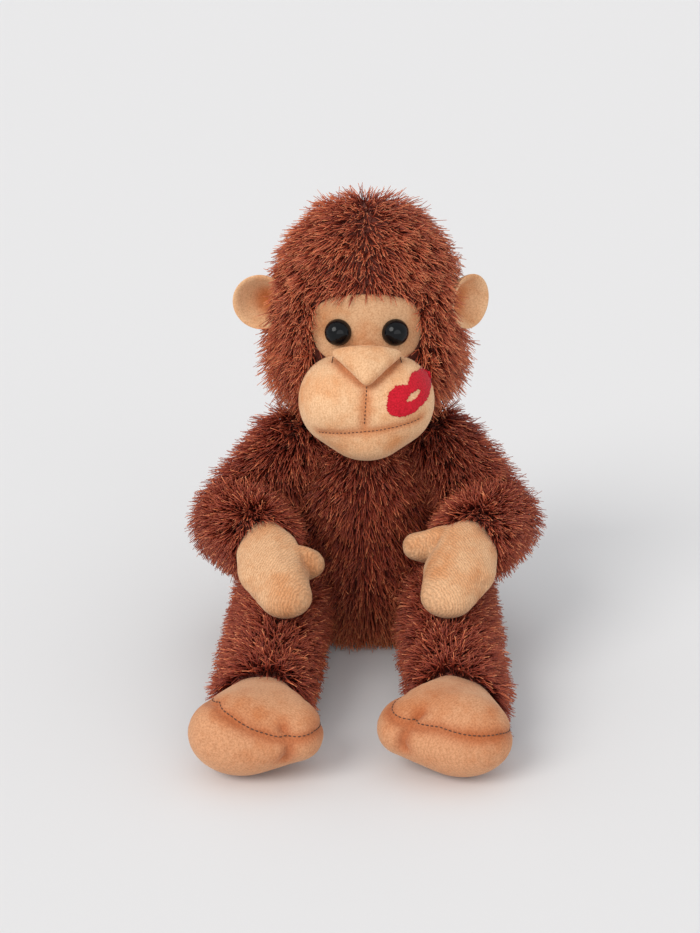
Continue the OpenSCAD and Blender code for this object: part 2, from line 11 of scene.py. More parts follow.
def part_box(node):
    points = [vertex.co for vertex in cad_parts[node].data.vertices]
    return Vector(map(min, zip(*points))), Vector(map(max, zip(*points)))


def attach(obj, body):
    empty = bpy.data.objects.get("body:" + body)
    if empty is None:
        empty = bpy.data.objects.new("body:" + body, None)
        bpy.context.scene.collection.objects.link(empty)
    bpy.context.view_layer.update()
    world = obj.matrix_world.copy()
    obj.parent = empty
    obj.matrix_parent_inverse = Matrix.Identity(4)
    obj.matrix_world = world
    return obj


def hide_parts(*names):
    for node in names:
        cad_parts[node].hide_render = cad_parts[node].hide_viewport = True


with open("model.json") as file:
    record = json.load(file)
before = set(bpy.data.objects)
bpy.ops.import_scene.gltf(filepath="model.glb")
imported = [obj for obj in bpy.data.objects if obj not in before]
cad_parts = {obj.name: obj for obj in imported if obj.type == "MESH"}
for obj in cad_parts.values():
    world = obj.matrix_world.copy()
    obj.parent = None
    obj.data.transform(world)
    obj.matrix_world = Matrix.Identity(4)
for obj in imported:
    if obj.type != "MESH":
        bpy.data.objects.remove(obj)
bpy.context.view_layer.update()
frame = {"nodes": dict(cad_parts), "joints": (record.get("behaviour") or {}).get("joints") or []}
bpy.ops.object.select_all(action="DESELECT")
pivot = {joint["name"]: Vector(joint["pos_m"]) for joint in frame["joints"]}
MM = 0.001
SIDES = {"right": -1, "left": 1}

# ---- Torso cover ----
# Four panels of knitted backing, sewn into a pear-shaped bag and filled with fibre through the back.
# The seat is pressed flat by the toy's own weight. The pile on it is brushed out at the end.


def alone(piece):
    """Selects one piece only and makes it the active one."""
    bpy.ops.object.select_all(action="DESELECT")
    piece.select_set(True)
    bpy.context.view_layer.objects.active = piece


def finished(piece, name, body, replaced=()):
    """Names a piece, bakes its place into its mesh and says what it stands for."""
    alone(piece)
    bpy.ops.object.transform_apply(location=True, rotation=True, scale=True)
    bpy.ops.object.shade_smooth()
    piece.select_set(False)
    piece.name = name
    piece.data.name = name
    if replaced:
        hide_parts(*replaced)
    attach(piece, body)
    return piece


def shaped_ball(place, segments=64, rings=40):
    """A ball whose every point is moved to place(direction)."""
    bpy.ops.mesh.primitive_uv_sphere_add(segments=segments, ring_count=rings, radius=1)
    ball = bpy.context.object
    for v in ball.data.vertices:
        v.co = place(v.co.copy())
    return ball


def swell(t, widest, powers):
    """Width of a bag at a height t, as a share of its width at its widest level."""
    below, above = powers
    if t < widest:
        u, (power, root) = (widest - t) / widest, below
    else:
        u, (power, root) = (t - widest) / (1 - widest), above
    return max(1 - u ** power, 0) ** root


def lathe_point(direction, widths, low, height, widest, powers):
    """Point of a bag that is round from above, with its widest level low down."""
    t = 0.5 + direction.z / 2
    share = swell(t, widest, powers)
    around = Vector((direction.x, direction.y))
    around = around.normalized() if around.length > 1e-6 else Vector((1, 0))
    return Vector((widths[0] * share * around.x, widths[1] * share * around.y, low + t * height))


axis = Vector((0, pivot["head_turn"].y, 0))
# The backing lies this far inside the flattened pile that the frame's covers stand for
BACKING = 1.6 * MM
SEAT_PRESS = 4 * MM
torso_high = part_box("torso_back_left")[1]
torso_half = Vector((torso_high.x, torso_high.y - axis.y))
BELLY_BULGE = 20 * MM
BELLY_TOP = 45 * MM


def torso_place(direction):
    at = lathe_point(direction, (torso_half.x - BACKING, torso_half.y - BACKING), BACKING - SEAT_PRESS,
                     torso_high.z + SEAT_PRESS - 2 * BACKING, 0.34, ((2.6, 0.45), (2.8, 0.52)))
    at.z = max(at.z, BACKING)
    # The belly bulges forward between the legs
    at.y -= BELLY_BULGE * max(-direction.y, 0) ** 3 * max(1 - at.z / BELLY_TOP, 0)
    return at + axis


def new_material(name):
    """An empty node material, with its nodes, its links and its shader."""
    mat = bpy.data.materials.new(name)
    mat.use_nodes = True
    nodes = mat.node_tree.nodes
    return mat, nodes, mat.node_tree.links, nodes["Principled BSDF"]


def ramp(nodes, *stops):
    """A colour ramp through some stops, each a position and a colour."""
    made = nodes.new("ShaderNodeValToRGB")
    bar = made.color_ramp
    for element, (at, colour) in zip(bar.elements, (stops[0], stops[-1])):
        element.position = at
        element.color = (*colour, 1)
    for at, colour in stops[1:-1]:
        bar.elements.new(at).color = (*colour, 1)
    return made


def bumped(nodes, links, height, strength, distance):
    """Relief from a height that changes over the surface."""
    bump = nodes.new("ShaderNodeBump")
    bump.inputs["Strength"].default_value = strength
    bump.inputs["Distance"].default_value = distance
    links.new(height, bump.inputs["Height"])
    return bump.outputs["Normal"]


def toned_material(name, texture, scale, low, high, roughness, values="Fac", relief=False):
    """A material whose colour follows a texture from its low stop to its high one."""
    mat, nodes, links, shader = new_material(name)
    place = nodes.new("ShaderNodeTexCoord")
    pattern = nodes.new(texture)
    pattern.inputs["Scale"].default_value = scale
    tone = ramp(nodes, low, high)
    links.new(place.outputs["Object"], pattern.inputs["Vector"])
    links.new(pattern.outputs[values], tone.inputs["Fac"])
    links.new(tone.outputs["Color"], shader.inputs["Base Color"])
    if relief:
        links.new(bumped(nodes, links, pattern.outputs[values], 0.5, 0.3 * MM), shader.inputs["Normal"])
    shader.inputs["Roughness"].default_value = roughness
    return mat, pattern


# Dark knitted backing, with the fine loops of the knit
backing, _ = toned_material("knitted_backing", "ShaderNodeTexVoronoi", 900, (0, (0.07, 0.013, 0.008)),
                            (1, (0.16, 0.03, 0.015)), 0.9, values="Distance", relief=True)
covers = {}


def cover(piece, name, body, replaced):
    """A filled fur cover, before its pile is brushed out."""
    piece.data.materials.append(backing)
    covers[name] = finished(piece, name, body, replaced)


cover(shaped_ball(torso_place), "torso_cover", "torso",
      ["torso_front_right", "torso_front_left", "torso_back_right", "torso_back_left", "torso_stuffing"])

# ---- Neck ----
# A short gathered tube of the same cloth, stuffed firm, that the head is sewn on to.

neck_low, neck_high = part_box("neck_sleeve")
neck_r = (neck_high.z - neck_low.z) / 2
cover(shaped_ball(lambda d: pivot["head_turn"] + d * neck_r, 32, 20), "neck_cover", "neck",
      ["neck_sleeve", "neck_stuffing"])

# ---- Head cover ----
# Two panels that meet in a seam over the crown, filled tight, and wider at the cheeks than above.

head_low, head_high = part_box("head_side_left")
head_half = Vector((head_high.x, head_high.y - axis.y))
HEAD_POWERS = ((2.9, 0.45), (2.5, 0.5))
CHEEK_LEVEL = 0.36


def head_place(direction):
    widths = (head_half.x - BACKING, head_half.y - BACKING)
    return axis + lathe_point(direction, widths, head_low.z + BACKING,
                              head_high.z - head_low.z - 2 * BACKING, CHEEK_LEVEL, HEAD_POWERS)


cover(shaped_ball(head_place), "head_cover", "head", ["head_side_right", "head_side_left", "head_stuffing"])

# ---- Arm and leg covers ----
# Each limb is a tube of fur cloth, filled with fibre. The arm is folded at the elbow, and its two
# halves turn on the ball of filling in the fold. The legs lie forward on the floor.


def tube(start, start_r, end, end_r):
    """A closed tube with round ends between two balls."""
    along = (end - start).normalized()
    turn = along.to_track_quat("Z", "Y")

    def place(d):
        centre, r = (end, end_r) if d.z > 0 else (start, start_r)
        return centre + (turn @ d) * r
    return shaped_ball(place, 36, 25)


leg_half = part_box("leg_sleeve_left")[1].z / 2
LIMB_R = {"shoulder": 16 * MM, "elbow": 15 * MM, "wrist": 13 * MM,
          "hip": leg_half + 0.5 * MM, "ankle": leg_half - 2.5 * MM}
# Where the fur of each limb stops, over the hand or the foot
sleeve_ends = {}
for side in SIDES:
    shoulder, elbow, wrist = (pivot[f"{part}_{side}"] for part in ("shoulder", "elbow", "wrist"))
    r = {part: size - BACKING for part, size in LIMB_R.items()}
    cover(tube(shoulder, r["shoulder"], elbow, r["elbow"]), f"upper_arm_cover_{side}",
          f"upper_arm_{side}_body", [f"upper_arm_{side}", f"upper_arm_stuffing_{side}"])
    sleeve_end = sleeve_ends[f"wrist_{side}"] = wrist + (elbow - wrist).normalized() * 7 * MM
    cover(tube(elbow, r["elbow"], sleeve_end, r["wrist"]), f"forearm_cover_{side}",
          f"forearm_{side}_body", [f"forearm_{side}", f"forearm_stuffing_{side}"])
    hip, ankle = pivot[f"hip_{side}"], pivot[f"ankle_{side}"]
    sleeve_end = sleeve_ends[f"ankle_{side}"] = ankle - (hip - ankle).normalized() * 12 * MM
    cover(tube(hip, r["hip"], sleeve_end, r["ankle"]), f"leg_cover_{side}", f"leg_{side}",
          [f"leg_sleeve_{side}", f"leg_stuffing_{side}"])

# ---- Hands ----
# A mitten of two velour panels with a stub of a thumb, filled with fibre and sewn into the wrist.
# The cover is inflated as cloth, so that it is round in the middle.


def hull_of(eggs, turned):
    """The smooth skin round some eggs, each a centre and three half sizes, in a turned frame."""
    parts = []
    for centre, half in eggs:
        bpy.ops.object.select_all(action="DESELECT")
        bpy.ops.mesh.primitive_uv_sphere_add(segments=32, ring_count=20, radius=1)
        egg = bpy.context.object
        egg.data.transform(turned @ Matrix.Translation(Vector(centre) * MM)
                           @ Matrix.Diagonal((*(Vector(half) * MM), 1)))
        parts.append(egg)
    for egg in parts:
        egg.select_set(True)
    bpy.context.view_layer.objects.active = parts[0]
    bpy.ops.object.join()
    bpy.ops.object.mode_set(mode="EDIT")
    bpy.ops.mesh.select_all(action="SELECT")
    bpy.ops.mesh.convex_hull()
    bpy.ops.object.mode_set(mode="OBJECT")
    return bpy.context.object


def applied(piece, kind, **settings):
    """Puts one modifier on a piece and applies it."""
    alone(piece)
    modifier = piece.modifiers.new("shaping", kind)
    for setting, value in settings.items():
        setattr(modifier, setting, value)
    bpy.ops.object.modifier_apply(modifier="shaping")


def one_skin(parts, voxel, smoothing):
    """Joins the parts and gives them one even skin."""
    bpy.ops.object.select_all(action="DESELECT")
    for part in parts:
        part.select_set(True)
    bpy.context.view_layer.objects.active = parts[0]
    if len(parts) > 1:
        bpy.ops.object.join()
    piece = bpy.context.object
    piece.data.remesh_voxel_size = voxel
    bpy.ops.object.voxel_remesh()
    applied(piece, "SMOOTH", factor=0.5, iterations=smoothing)
    return piece


def points_of(piece):
    """The places of a piece's points, one row each."""
    return np.array([v.co for v in piece.data.vertices])


# Cloth is worked at ten times its size, where the solver's own lengths suit it
CLOTH_SCALE = 10


def puffed(piece, cap=2.5 * MM):
    """Fills a cover: the cloth swells and wrinkles, and no point goes further than cap."""
    start = points_of(piece)
    piece.data.transform(Matrix.Scale(CLOTH_SCALE, 4))
    bpy.context.view_layer.objects.active = piece
    cloth = piece.modifiers.new("filling", "CLOTH")
    cloth.settings.quality = 5
    cloth.settings.mass = 0.3
    cloth.settings.use_pressure = True
    cloth.settings.uniform_pressure_force = 4
    cloth.settings.effector_weights.gravity = 0
    scene = bpy.context.scene
    for step in range(1, 21):
        scene.frame_set(step)
    bpy.ops.object.modifier_apply(modifier="filling")
    scene.frame_set(1)
    shift = points_of(piece) / CLOTH_SCALE - start
    far = np.linalg.norm(shift, axis=1, keepdims=True)
    moved = start + shift * np.minimum(1, cap / np.maximum(far, 1e-9))
    piece.data.vertices.foreach_set("co", moved.ravel())
    piece.data.update()
    return piece


def paint_shade(piece, values):
    """Paints shade into a velour piece: points get a deeper colour where shade falls in its hollows and
    seams.
    """
    shade_mark = piece.data.attributes.get("painted_shade") or piece.data.attributes.new("painted_shade", "FLOAT", "POINT")
    old = np.zeros(len(piece.data.vertices))
    shade_mark.data.foreach_get("value", old)
    shade_mark.data.foreach_set("value", np.maximum(old, values).astype(np.float32))


def pulled_in(piece, path, depth, width):
    """Draws the cloth in along a seam, given as points on it, and paints shade in the groove."""
    seam = np.array(path)
    co = points_of(piece)
    normals = np.array([v.normal for v in piece.data.vertices])
    best = np.full(len(co), 1e9)
    for p, q in zip(seam[:-1], seam[1:]):
        t = np.clip((co - p) @ (q - p) / max((q - p) @ (q - p), 1e-12), 0, 1)
        best = np.minimum(best, np.linalg.norm(co - (p + t[:, None] * (q - p)), axis=1))
    draw = depth * (0.7 * np.exp(-(best / width) ** 2) + 0.3 * np.exp(-(best / (4 * width)) ** 2))
    piece.data.vertices.foreach_set("co", (co - normals * draw[:, None]).ravel())
    # Painted shade: the cloth along the seam gets a deeper colour, as shade falls in the groove
    paint_shade(piece, 0.75 * np.exp(-(best / (2.2 * width)) ** 2))
    piece.data.update()


def subdivided(piece):
    """Makes a piece's mesh finer and rounder."""
    applied(piece, "SUBSURF", levels=1, render_levels=1)


def tree_of(piece):
    """A search tree of a piece's faces, for rays and nearest points."""
    mesh = piece.data
    return BVHTree.FromPolygons([v.co for v in mesh.vertices], [p.vertices for p in mesh.polygons])


def velour_group():
    """Short velour pile: rows of knit, a mottled nap, and painted shade, a deeper colour, in hollows and
    seams.
    """
    group = bpy.data.node_groups.new("velour_pile", "ShaderNodeTree")
    for name, kind, value in (("Place", "NodeSocketVector", None), ("Row pitch", "NodeSocketFloat", 5200.0),
                              ("Row depth", "NodeSocketFloat", 0.5), ("Painted shade", "NodeSocketFloat", 0.0),
                              ("Tint", "NodeSocketColor", (1, 1, 1, 1))):
        socket = group.interface.new_socket(name, in_out="INPUT", socket_type=kind)
        if value is not None:
            socket.default_value = value
    for name, kind in (("Colour", "NodeSocketColor"), ("Roughness", "NodeSocketFloat"),
                       ("Normal", "NodeSocketVector")):
        group.interface.new_socket(name, in_out="OUTPUT", socket_type=kind)
    nodes, links = group.nodes, group.links
    taken, given = nodes.new("NodeGroupInput"), nodes.new("NodeGroupOutput")

    def spot(scale, detail=2.0, roughness=0.55):
        made = nodes.new("ShaderNodeTexNoise")
        made.inputs["Scale"].default_value = scale
        made.inputs["Detail"].default_value = detail
        made.inputs["Roughness"].default_value = roughness
        links.new(taken.outputs["Place"], made.inputs["Vector"])
        return made

    def mixed(kind, factor, a, b):
        made = nodes.new("ShaderNodeMix")
        made.data_type = "RGBA"
        made.blend_type = kind
        made.inputs[0].default_value = factor
        for socket, value in ((made.inputs[6], a), (made.inputs[7], b)):
            if isinstance(value, tuple):
                socket.default_value = value
            else:
                links.new(value, socket)
        return made

    patches, grain, tufts = spot(60, 3.0, 0.6), spot(1300, 3.0, 0.75), spot(420, 2.0)
    tone = ramp(nodes, (0.3, (0.68, 0.31, 0.13)), (0.56, (0.78, 0.48, 0.27)))
    links.new(patches.outputs["Fac"], tone.inputs["Fac"])
    speck = ramp(nodes, (0.3, (0.62, 0.5, 0.4)), (0.6, (1, 1, 1)))
    links.new(grain.outputs["Fac"], speck.inputs["Fac"])
    # Rows of the knit, broken up by the tufts
    bent = nodes.new("ShaderNodeVectorMath")
    bent.operation = "MULTIPLY_ADD"
    links.new(tufts.outputs["Color"], bent.inputs[0])
    bent.inputs[1].default_value = (0.0024, 0.0024, 0.0024)
    links.new(taken.outputs["Place"], bent.inputs[2])
    across = nodes.new("ShaderNodeSeparateXYZ")
    links.new(bent.outputs["Vector"], across.inputs["Vector"])
    turns = nodes.new("ShaderNodeMath")
    turns.operation = "MULTIPLY"
    links.new(across.outputs["X"], turns.inputs[0])
    links.new(taken.outputs["Row pitch"], turns.inputs[1])
    wave = nodes.new("ShaderNodeMath")
    wave.operation = "SINE"
    links.new(turns.outputs["Value"], wave.inputs[0])
    row = nodes.new("ShaderNodeMapRange")
    row.inputs["From Min"].default_value = -1
    links.new(wave.outputs["Value"], row.inputs["Value"])
    rows_shade = nodes.new("ShaderNodeMapRange")
    rows_shade.inputs["To Min"].default_value = 0.6
    links.new(row.outputs["Result"], rows_shade.inputs["Value"])
    # Painted shade: hollows and seams are mixed towards a deep orange-brown
    shaded_tone = mixed("MIX", 0.0, tone.outputs["Color"], (0.5, 0.15, 0.045, 1))
    links.new(taken.outputs["Painted shade"], shaded_tone.inputs[0])
    first = mixed("MULTIPLY", 0.8, shaded_tone.outputs[2], speck.outputs["Color"])
    second = mixed("MULTIPLY", 0.5, first.outputs[2], rows_shade.outputs["Result"])
    links.new(taken.outputs["Row depth"], second.inputs[0])
    third = mixed("MULTIPLY", 1.0, second.outputs[2], (1, 1, 1, 1))
    links.new(taken.outputs["Tint"], third.inputs[7])
    links.new(third.outputs[2], given.inputs["Colour"])
    rough = nodes.new("ShaderNodeMapRange")
    rough.inputs["To Min"].default_value = 0.75
    rough.inputs["To Max"].default_value = 0.95
    links.new(grain.outputs["Fac"], rough.inputs["Value"])
    links.new(rough.outputs["Result"], given.inputs["Roughness"])
    height = nodes.new("ShaderNodeMath")
    height.operation = "MULTIPLY_ADD"
    links.new(row.outputs["Result"], height.inputs[0])
    links.new(taken.outputs["Row depth"], height.inputs[1])
    links.new(grain.outputs["Fac"], height.inputs[2])
    links.new(bumped(nodes, links, height.outputs["Value"], 0.55, 0.35 * MM), given.inputs["Normal"])
    return group


velour_pile = velour_group()


def velour(name, turn=(0, 0, 0), depth=0.5, tint=(1, 1, 1)):
    """Tan velour, with its rows turned to lie along the piece, and painted shade, a deeper colour, in its
    hollows.
    """
    mat, nodes, links, shader = new_material(name)
    place = nodes.new("ShaderNodeTexCoord")
    turned = nodes.new("ShaderNodeMapping")
    turned.inputs["Rotation"].default_value = [math.radians(a) for a in turn]
    made = nodes.new("ShaderNodeGroup")
    made.node_tree = velour_pile
    made.inputs["Row pitch"].default_value = 5600
    made.inputs["Row depth"].default_value = depth
    made.inputs["Tint"].default_value = (*tint, 1)
    links.new(place.outputs["Object"], turned.inputs["Vector"])
    links.new(turned.outputs["Vector"], made.inputs["Place"])
    # The painted shade in hollows and seams comes from a value on the piece's points
    painted_shade = nodes.new("ShaderNodeAttribute")
    painted_shade.attribute_name = "painted_shade"
    links.new(painted_shade.outputs["Fac"], made.inputs["Painted shade"])
    links.new(made.outputs["Colour"], shader.inputs["Base Color"])
    links.new(made.outputs["Roughness"], shader.inputs["Roughness"])
    links.new(made.outputs["Normal"], shader.inputs["Normal"])
    shader.inputs["Specular IOR Level"].default_value = 0.2
    shader.inputs["Sheen Weight"].default_value = 0.3
    shader.inputs["Sheen Roughness"].default_value = 0.45
    shader.inputs["Sheen Tint"].default_value = (1.0, 0.82, 0.6, 1)
    return mat


solids = dict(covers)
HAND_L, HAND_W, HAND_T, HAND_ROOT = 46, 34, 19, 10.5
# How far forward of the palm each thumb lies, and how far out it reaches
THUMB = {"right": (3.5, 1.8), "left": (15, 6.5)}
for side, sign in SIDES.items():
    wrist = pivot[f"wrist_{side}"]
    # The hand points forward, inward and down on to the thigh
    yaw, pitch = math.radians(-18 * sign), math.radians(21.5)
    frame_of_hand = (Matrix.Translation(wrist) @ Matrix.Rotation(yaw, 4, "Z")
                     @ Matrix.Rotation(pitch, 4, "X") @ Matrix.Diagonal((-sign, 1, 1, 1)))
    palm = -HAND_L * 0.4
    mitten = hull_of([((0, 0, 0), (HAND_ROOT,) * 3),
                      ((0.5, -5, 0), (15.5, 9, 10)),
                      ((0, palm, 0), (HAND_W / 2 + 0.5, HAND_W / 2 - 1, HAND_T / 2 - 0.5)),
                      ((0, 11.5 - HAND_L, 0), (HAND_W * 0.37, 11, HAND_T / 2 - 1.5))], frame_of_hand)
    thumb_at, thumb_out = THUMB[side]
    thumb = hull_of([((HAND_W * 0.12, palm + thumb_at + 1, 0), (11, 13, 8)),
                     ((HAND_W / 2 + thumb_out, palm + thumb_at, 0), (6.4, 7.2, 6.0))], frame_of_hand)
    hand = puffed(one_skin([mitten, thumb], 1.3 * MM, 6))
    subdivided(hand)
    hand.data.materials.append(velour(f"velour_hand_{side}", turn=(0, 0, -35 * sign), depth=0.6,
                                      tint=(1.0, 0.96, 0.94)))
    panels = [f"hand_{part}_{side}" for part in ("back", "palm", "stuffing")]
    solids[f"hand_{side}"] = finished(hand, f"hand_padded_{side}", f"hand_{side}", panels)

# ---- Feet ----
# Each foot is two velour panels, an instep and a big sole that shows at the front, with a bulge for
# the big toe on the inner side. A dark thread runs along the seam and draws a pucker by the toe.

FOOT_W, FOOT_L, FOOT_H = 52, 40, 35
FOOT_TURN = {"right": -2, "left": -14}
# Height of the seam round the toe end, from the outer side to the big toe, as a share of the foot's
SEAM_HEIGHT = {"right": (0.86, 0.93, 0.86, 0.74, 0.65, 0.66, 0.6),
               "left": (0.56, 0.66, 0.7, 0.75, 0.74, 0.79, 0.84)}
# How far round the seam, from the outer side, the pucker by the big toe crosses it
PUCKER_AT = 0.69

# Dark twisted thread
thread, _ = toned_material("sewing_thread", "ShaderNodeTexWave", 1500, (0, (0.035, 0.014, 0.008)),
                           (1, (0.13, 0.055, 0.03)), 0.65)


def stitches(name, body, replaced, runs, radius=0.28 * MM, pitch=2.0 * MM, share=0.62):
    """Running stitches along runs of points: short rods, a little sunk at their ends."""
    verts, faces = [], []
    for run in runs:
        points = [Vector(p) for p in run]
        lengths = [0.0]
        for p, q in zip(points, points[1:]):
            lengths.append(lengths[-1] + (q - p).length)

        def along(s):
            s = min(max(s, 0), lengths[-1])
            i = max(j for j, d in enumerate(lengths[:-1]) if d <= s)
            part = (s - lengths[i]) / max(lengths[i + 1] - lengths[i], 1e-9)
            return points[i].lerp(points[i + 1], part)
        for k in range(int(lengths[-1] / pitch)):
            ends = [along(k * pitch), along((k + share / 2) * pitch), along((k + share) * pitch)]
            forward = (ends[2] - ends[0]).normalized()
            sideways = forward.orthogonal().normalized()
            up = forward.cross(sideways)
            base = len(verts)
            for centre, r in zip(ends, (0.6 * radius, radius, 0.6 * radius)):
                for a in range(6):
                    angle = a * math.pi / 3
                    verts.append(centre + (sideways * math.cos(angle) + up * math.sin(angle)) * r)
            for ring in (0, 6):
                for a in range(6):
                    here, there = base + ring + a, base + ring + (a + 1) % 6
                    faces.append((here, there, there + 6, here + 6))
            faces.append(tuple(base + a for a in range(5, -1, -1)))
            faces.append(tuple(base + 12 + a for a in range(6)))
    mesh = bpy.data.meshes.new(name)
    mesh.from_pydata(verts, [], faces)
    piece = bpy.data.objects.new(name, mesh)
    bpy.context.scene.collection.objects.link(piece)
    mesh.materials.append(thread)
    return finished(piece, name, body, replaced)


def on_surface(tree, starts):
    """Where rays, each a start and a direction, meet a surface."""
    hits = [tree.ray_cast(origin, towards)[0] for origin, towards in starts]
    return [hit for hit in hits if hit is not None]


for side, sign in SIDES.items():
    ankle = pivot[f"ankle_{side}"]
    frame_of_foot = (Matrix.Translation(ankle) @ Matrix.Rotation(math.radians(FOOT_TURN[side]), 4, "Z")
                     @ Matrix.Diagonal((-sign, 1, 1, 1)))
    # An egg at the ankle, a big one for the foot, and one for the big toe on the inner side
    main, depth = FOOT_W * 0.4, FOOT_L * 0.42
    low = FOOT_H / 2 - 17
    toe_half = FOOT_W * 0.22
    sole_at, toe_at = main - FOOT_W / 2 - 0.5, FOOT_W / 2 - toe_half + 1.5
    bean = hull_of([((0, 0, 0), (12.5, 12.5, 12.5)),
                    ((sole_at, depth - FOOT_L - 4, low), (main + 0.5, depth, FOOT_H / 2 - 0.8)),
                    ((toe_at, depth - FOOT_L - 5, 2), (toe_half, depth * 0.9, FOOT_H * 0.31))],
                   frame_of_foot)
    foot = puffed(one_skin([bean], 1.4 * MM, 4))
    tree = tree_of(foot)
    heart = frame_of_foot @ (Vector((0, -FOOT_L * 0.6, low)) * MM)
    foot_low, foot_high = (end(v.co.z for v in foot.data.vertices) for end in (min, max))
    heights = SEAM_HEIGHT[side]
    rays = []
    for s in np.linspace(0, 1, 49):
        share = float(np.interp(s, np.linspace(0, 1, len(heights)), heights))
        angle = math.radians(-98 + 196 * s)
        towards = Vector((-sign * math.sin(angle), -math.cos(angle), 0))
        rays.append((Vector((heart.x, heart.y, foot_low + (foot_high - foot_low) * share)),
                     Matrix.Rotation(math.radians(FOOT_TURN[side]), 3, "Z") @ towards))
    seam = on_surface(tree, rays)
    # The seam and the pucker are drawn in, with painted shade in their grooves
    pulled_in(foot, seam, 1.5 * MM, 1.5 * MM)
    knot = seam[int(PUCKER_AT * (len(seam) - 1))]
    towards = Vector((knot.x - heart.x, knot.y - heart.y, 0)).normalized()
    pucker = on_surface(tree, [(Vector((heart.x, heart.y, knot.z + k * 1.3 * MM)), towards)
                               for k in range(-8, 4)])
    pulled_in(foot, pucker, 3.2 * MM, 1.6 * MM)
    subdivided(foot)
    tree = tree_of(foot)
    foot.data.materials.append(velour(f"velour_foot_{side}", turn=(0, 0, 60 * sign), depth=0.22,
                                      tint=(0.83, 0.665, 0.61)))
    panels = [f"foot_{part}_{side}" for part in ("top", "sole", "stuffing")]
    solids[f"foot_{side}"] = finished(foot, f"foot_padded_{side}", f"foot_{side}", panels)
    # The thread lies on the finished skin, a little proud of it
    rays = [(Vector((heart.x, heart.y, p.z)), Vector((p.x - heart.x, p.y - heart.y, 0)).normalized())
            for p in seam]
    lifted = [p + Vector((p.x - heart.x, p.y - heart.y, 0)).normalized() * 0.12 * MM
              for p in on_surface(tree, rays)]
    stitches(f"foot_seam_{side}", f"foot_{side}", [f"foot_stitches_{side}"], [lifted], pitch=1.9 * MM)

# ---- Face ----
# A tan velour panel let into the fur, a full muzzle of two cheeks and a chin, and a folded nose.
# The seams show as a dark running stitch down the middle and along the mouth.

face_low, face_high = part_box("face_panel")
FACE_HALF = (face_high.x - face_low.x) / 2
FACE_TOP = face_high.z
MUZZLE_HALF_H = 27 * MM
muzzle_at = Vector((0, axis.y - 39 * MM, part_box("chin_panel")[0].z + MUZZLE_HALF_H))


def head_front(x, z):
    """Point on the front of the head at a place across and a height."""
    t = min(max((z - head_low.z) / (head_high.z - head_low.z), 0.02), 0.98)
    share = swell(t, CHEEK_LEVEL, HEAD_POWERS)
    across = x / (head_half.x * share)
    return Vector((x, axis.y - head_half.y * share * math.sqrt(max(1 - across * across, 0)), z))


def closed_sheet(piece, thickness, offset):
    """Gives a sheet its thickness, and turns all its faces outwards."""
    applied(piece, "SOLIDIFY", thickness=thickness, offset=offset)
    bpy.ops.object.mode_set(mode="EDIT")
    bpy.ops.mesh.select_all(action="SELECT")
    bpy.ops.mesh.normals_make_consistent(inside=False)
    bpy.ops.object.mode_set(mode="OBJECT")


def face_grid(columns, rows, half_w, low, high, corner, lift):
    """A rounded panel laid on the front of the head, raised a little in its middle."""
    bpy.ops.object.select_all(action="DESELECT")
    bpy.ops.mesh.primitive_grid_add(x_subdivisions=columns, y_subdivisions=rows, size=2)
    panel = bpy.context.object
    mid, half_h = (low + high) / 2, (high - low) / 2
    for v in panel.data.vertices:
        x, y = v.co.x, v.co.y
        # A square taken to a rounded square
        squeeze = 1 - corner * (x * x * y * y)
        proud = lift * (1 - max(abs(x), abs(y)) ** 6)
        v.co = head_front(x * half_w * squeeze, mid + y * half_h * squeeze) - Vector((0, proud, 0))
    return panel


panel = face_grid(40, 34, FACE_HALF + 1.8 * MM, face_low.z, FACE_TOP + 0.5 * MM, 0.26, 1.2 * MM)
eye_place = {side: (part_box(f"eye_{side}")[0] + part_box(f"eye_{side}")[1]) / 2 for side in SIDES}
# The eyes are drawn in, so the cloth dips round each
for v in panel.data.vertices:
    for side in SIDES:
        off = math.hypot(v.co.x - eye_place[side].x, v.co.z - eye_place[side].z)
        v.co.y += 1.0 * MM * math.exp(-(off / (7 * MM)) ** 2)
closed_sheet(panel, 2 * MM, -1)
subdivided(panel)
panel.data.materials.append(velour("velour_face", depth=0.0, tint=(0.82, 0.78, 0.76)))
solids["face"] = finished(panel, "face_panel_sewn", "head", ["face_panel"])

# A cheek on each side, the middle between them, and the chin
muzzle_eggs = [((0, 0, 0), (20, 22.2, 26.3)), ((-13, -1, 0.5), (17.3, 21, 19.8)),
               ((13, -1, 0.5), (17.3, 21, 19.8)), ((0, -3.2, -14.4), (17.5, 17, 11.4))]
muzzle = one_skin([hull_of(muzzle_eggs, Matrix.Translation(muzzle_at))], 1.6 * MM, 4)
muzzle = puffed(muzzle, cap=1.5 * MM)
tree = tree_of(muzzle)
MOUTH_Z = muzzle_at.z - 8 * MM
MOUTH_SLOPE = math.tan(math.radians(6))
NOSE_TOP = muzzle_at.z + MUZZLE_HALF_H - 2 * MM


def on_muzzle(tree, places, lift=0.0):
    """Points of the muzzle's front at places across and up, lifted off it."""
    hits = [tree.ray_cast(Vector((x, muzzle_at.y - 60 * MM, z)), Vector((0, 1, 0)))[:2] for x, z in places]
    return [hit + normal * lift for hit, normal in hits if hit is not None]


centre_line = [(-1.2 * MM * s, NOSE_TOP - 12 * MM - 19 * MM * s) for s in np.linspace(0, 1, 21)]
# The mouth slopes up to the left and turns up more at its left end
mouth_line = [(x, MOUTH_Z + x * MOUTH_SLOPE + 2.5 * MM * (x / (24 * MM)) ** 2 * (1 if x > 0 else 0.2))
              for x in np.linspace(-21, 24, 31) * MM]
nose_low, nose_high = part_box("nose_fold")
nose_half = (nose_high.x - nose_low.x) / 2 / MM
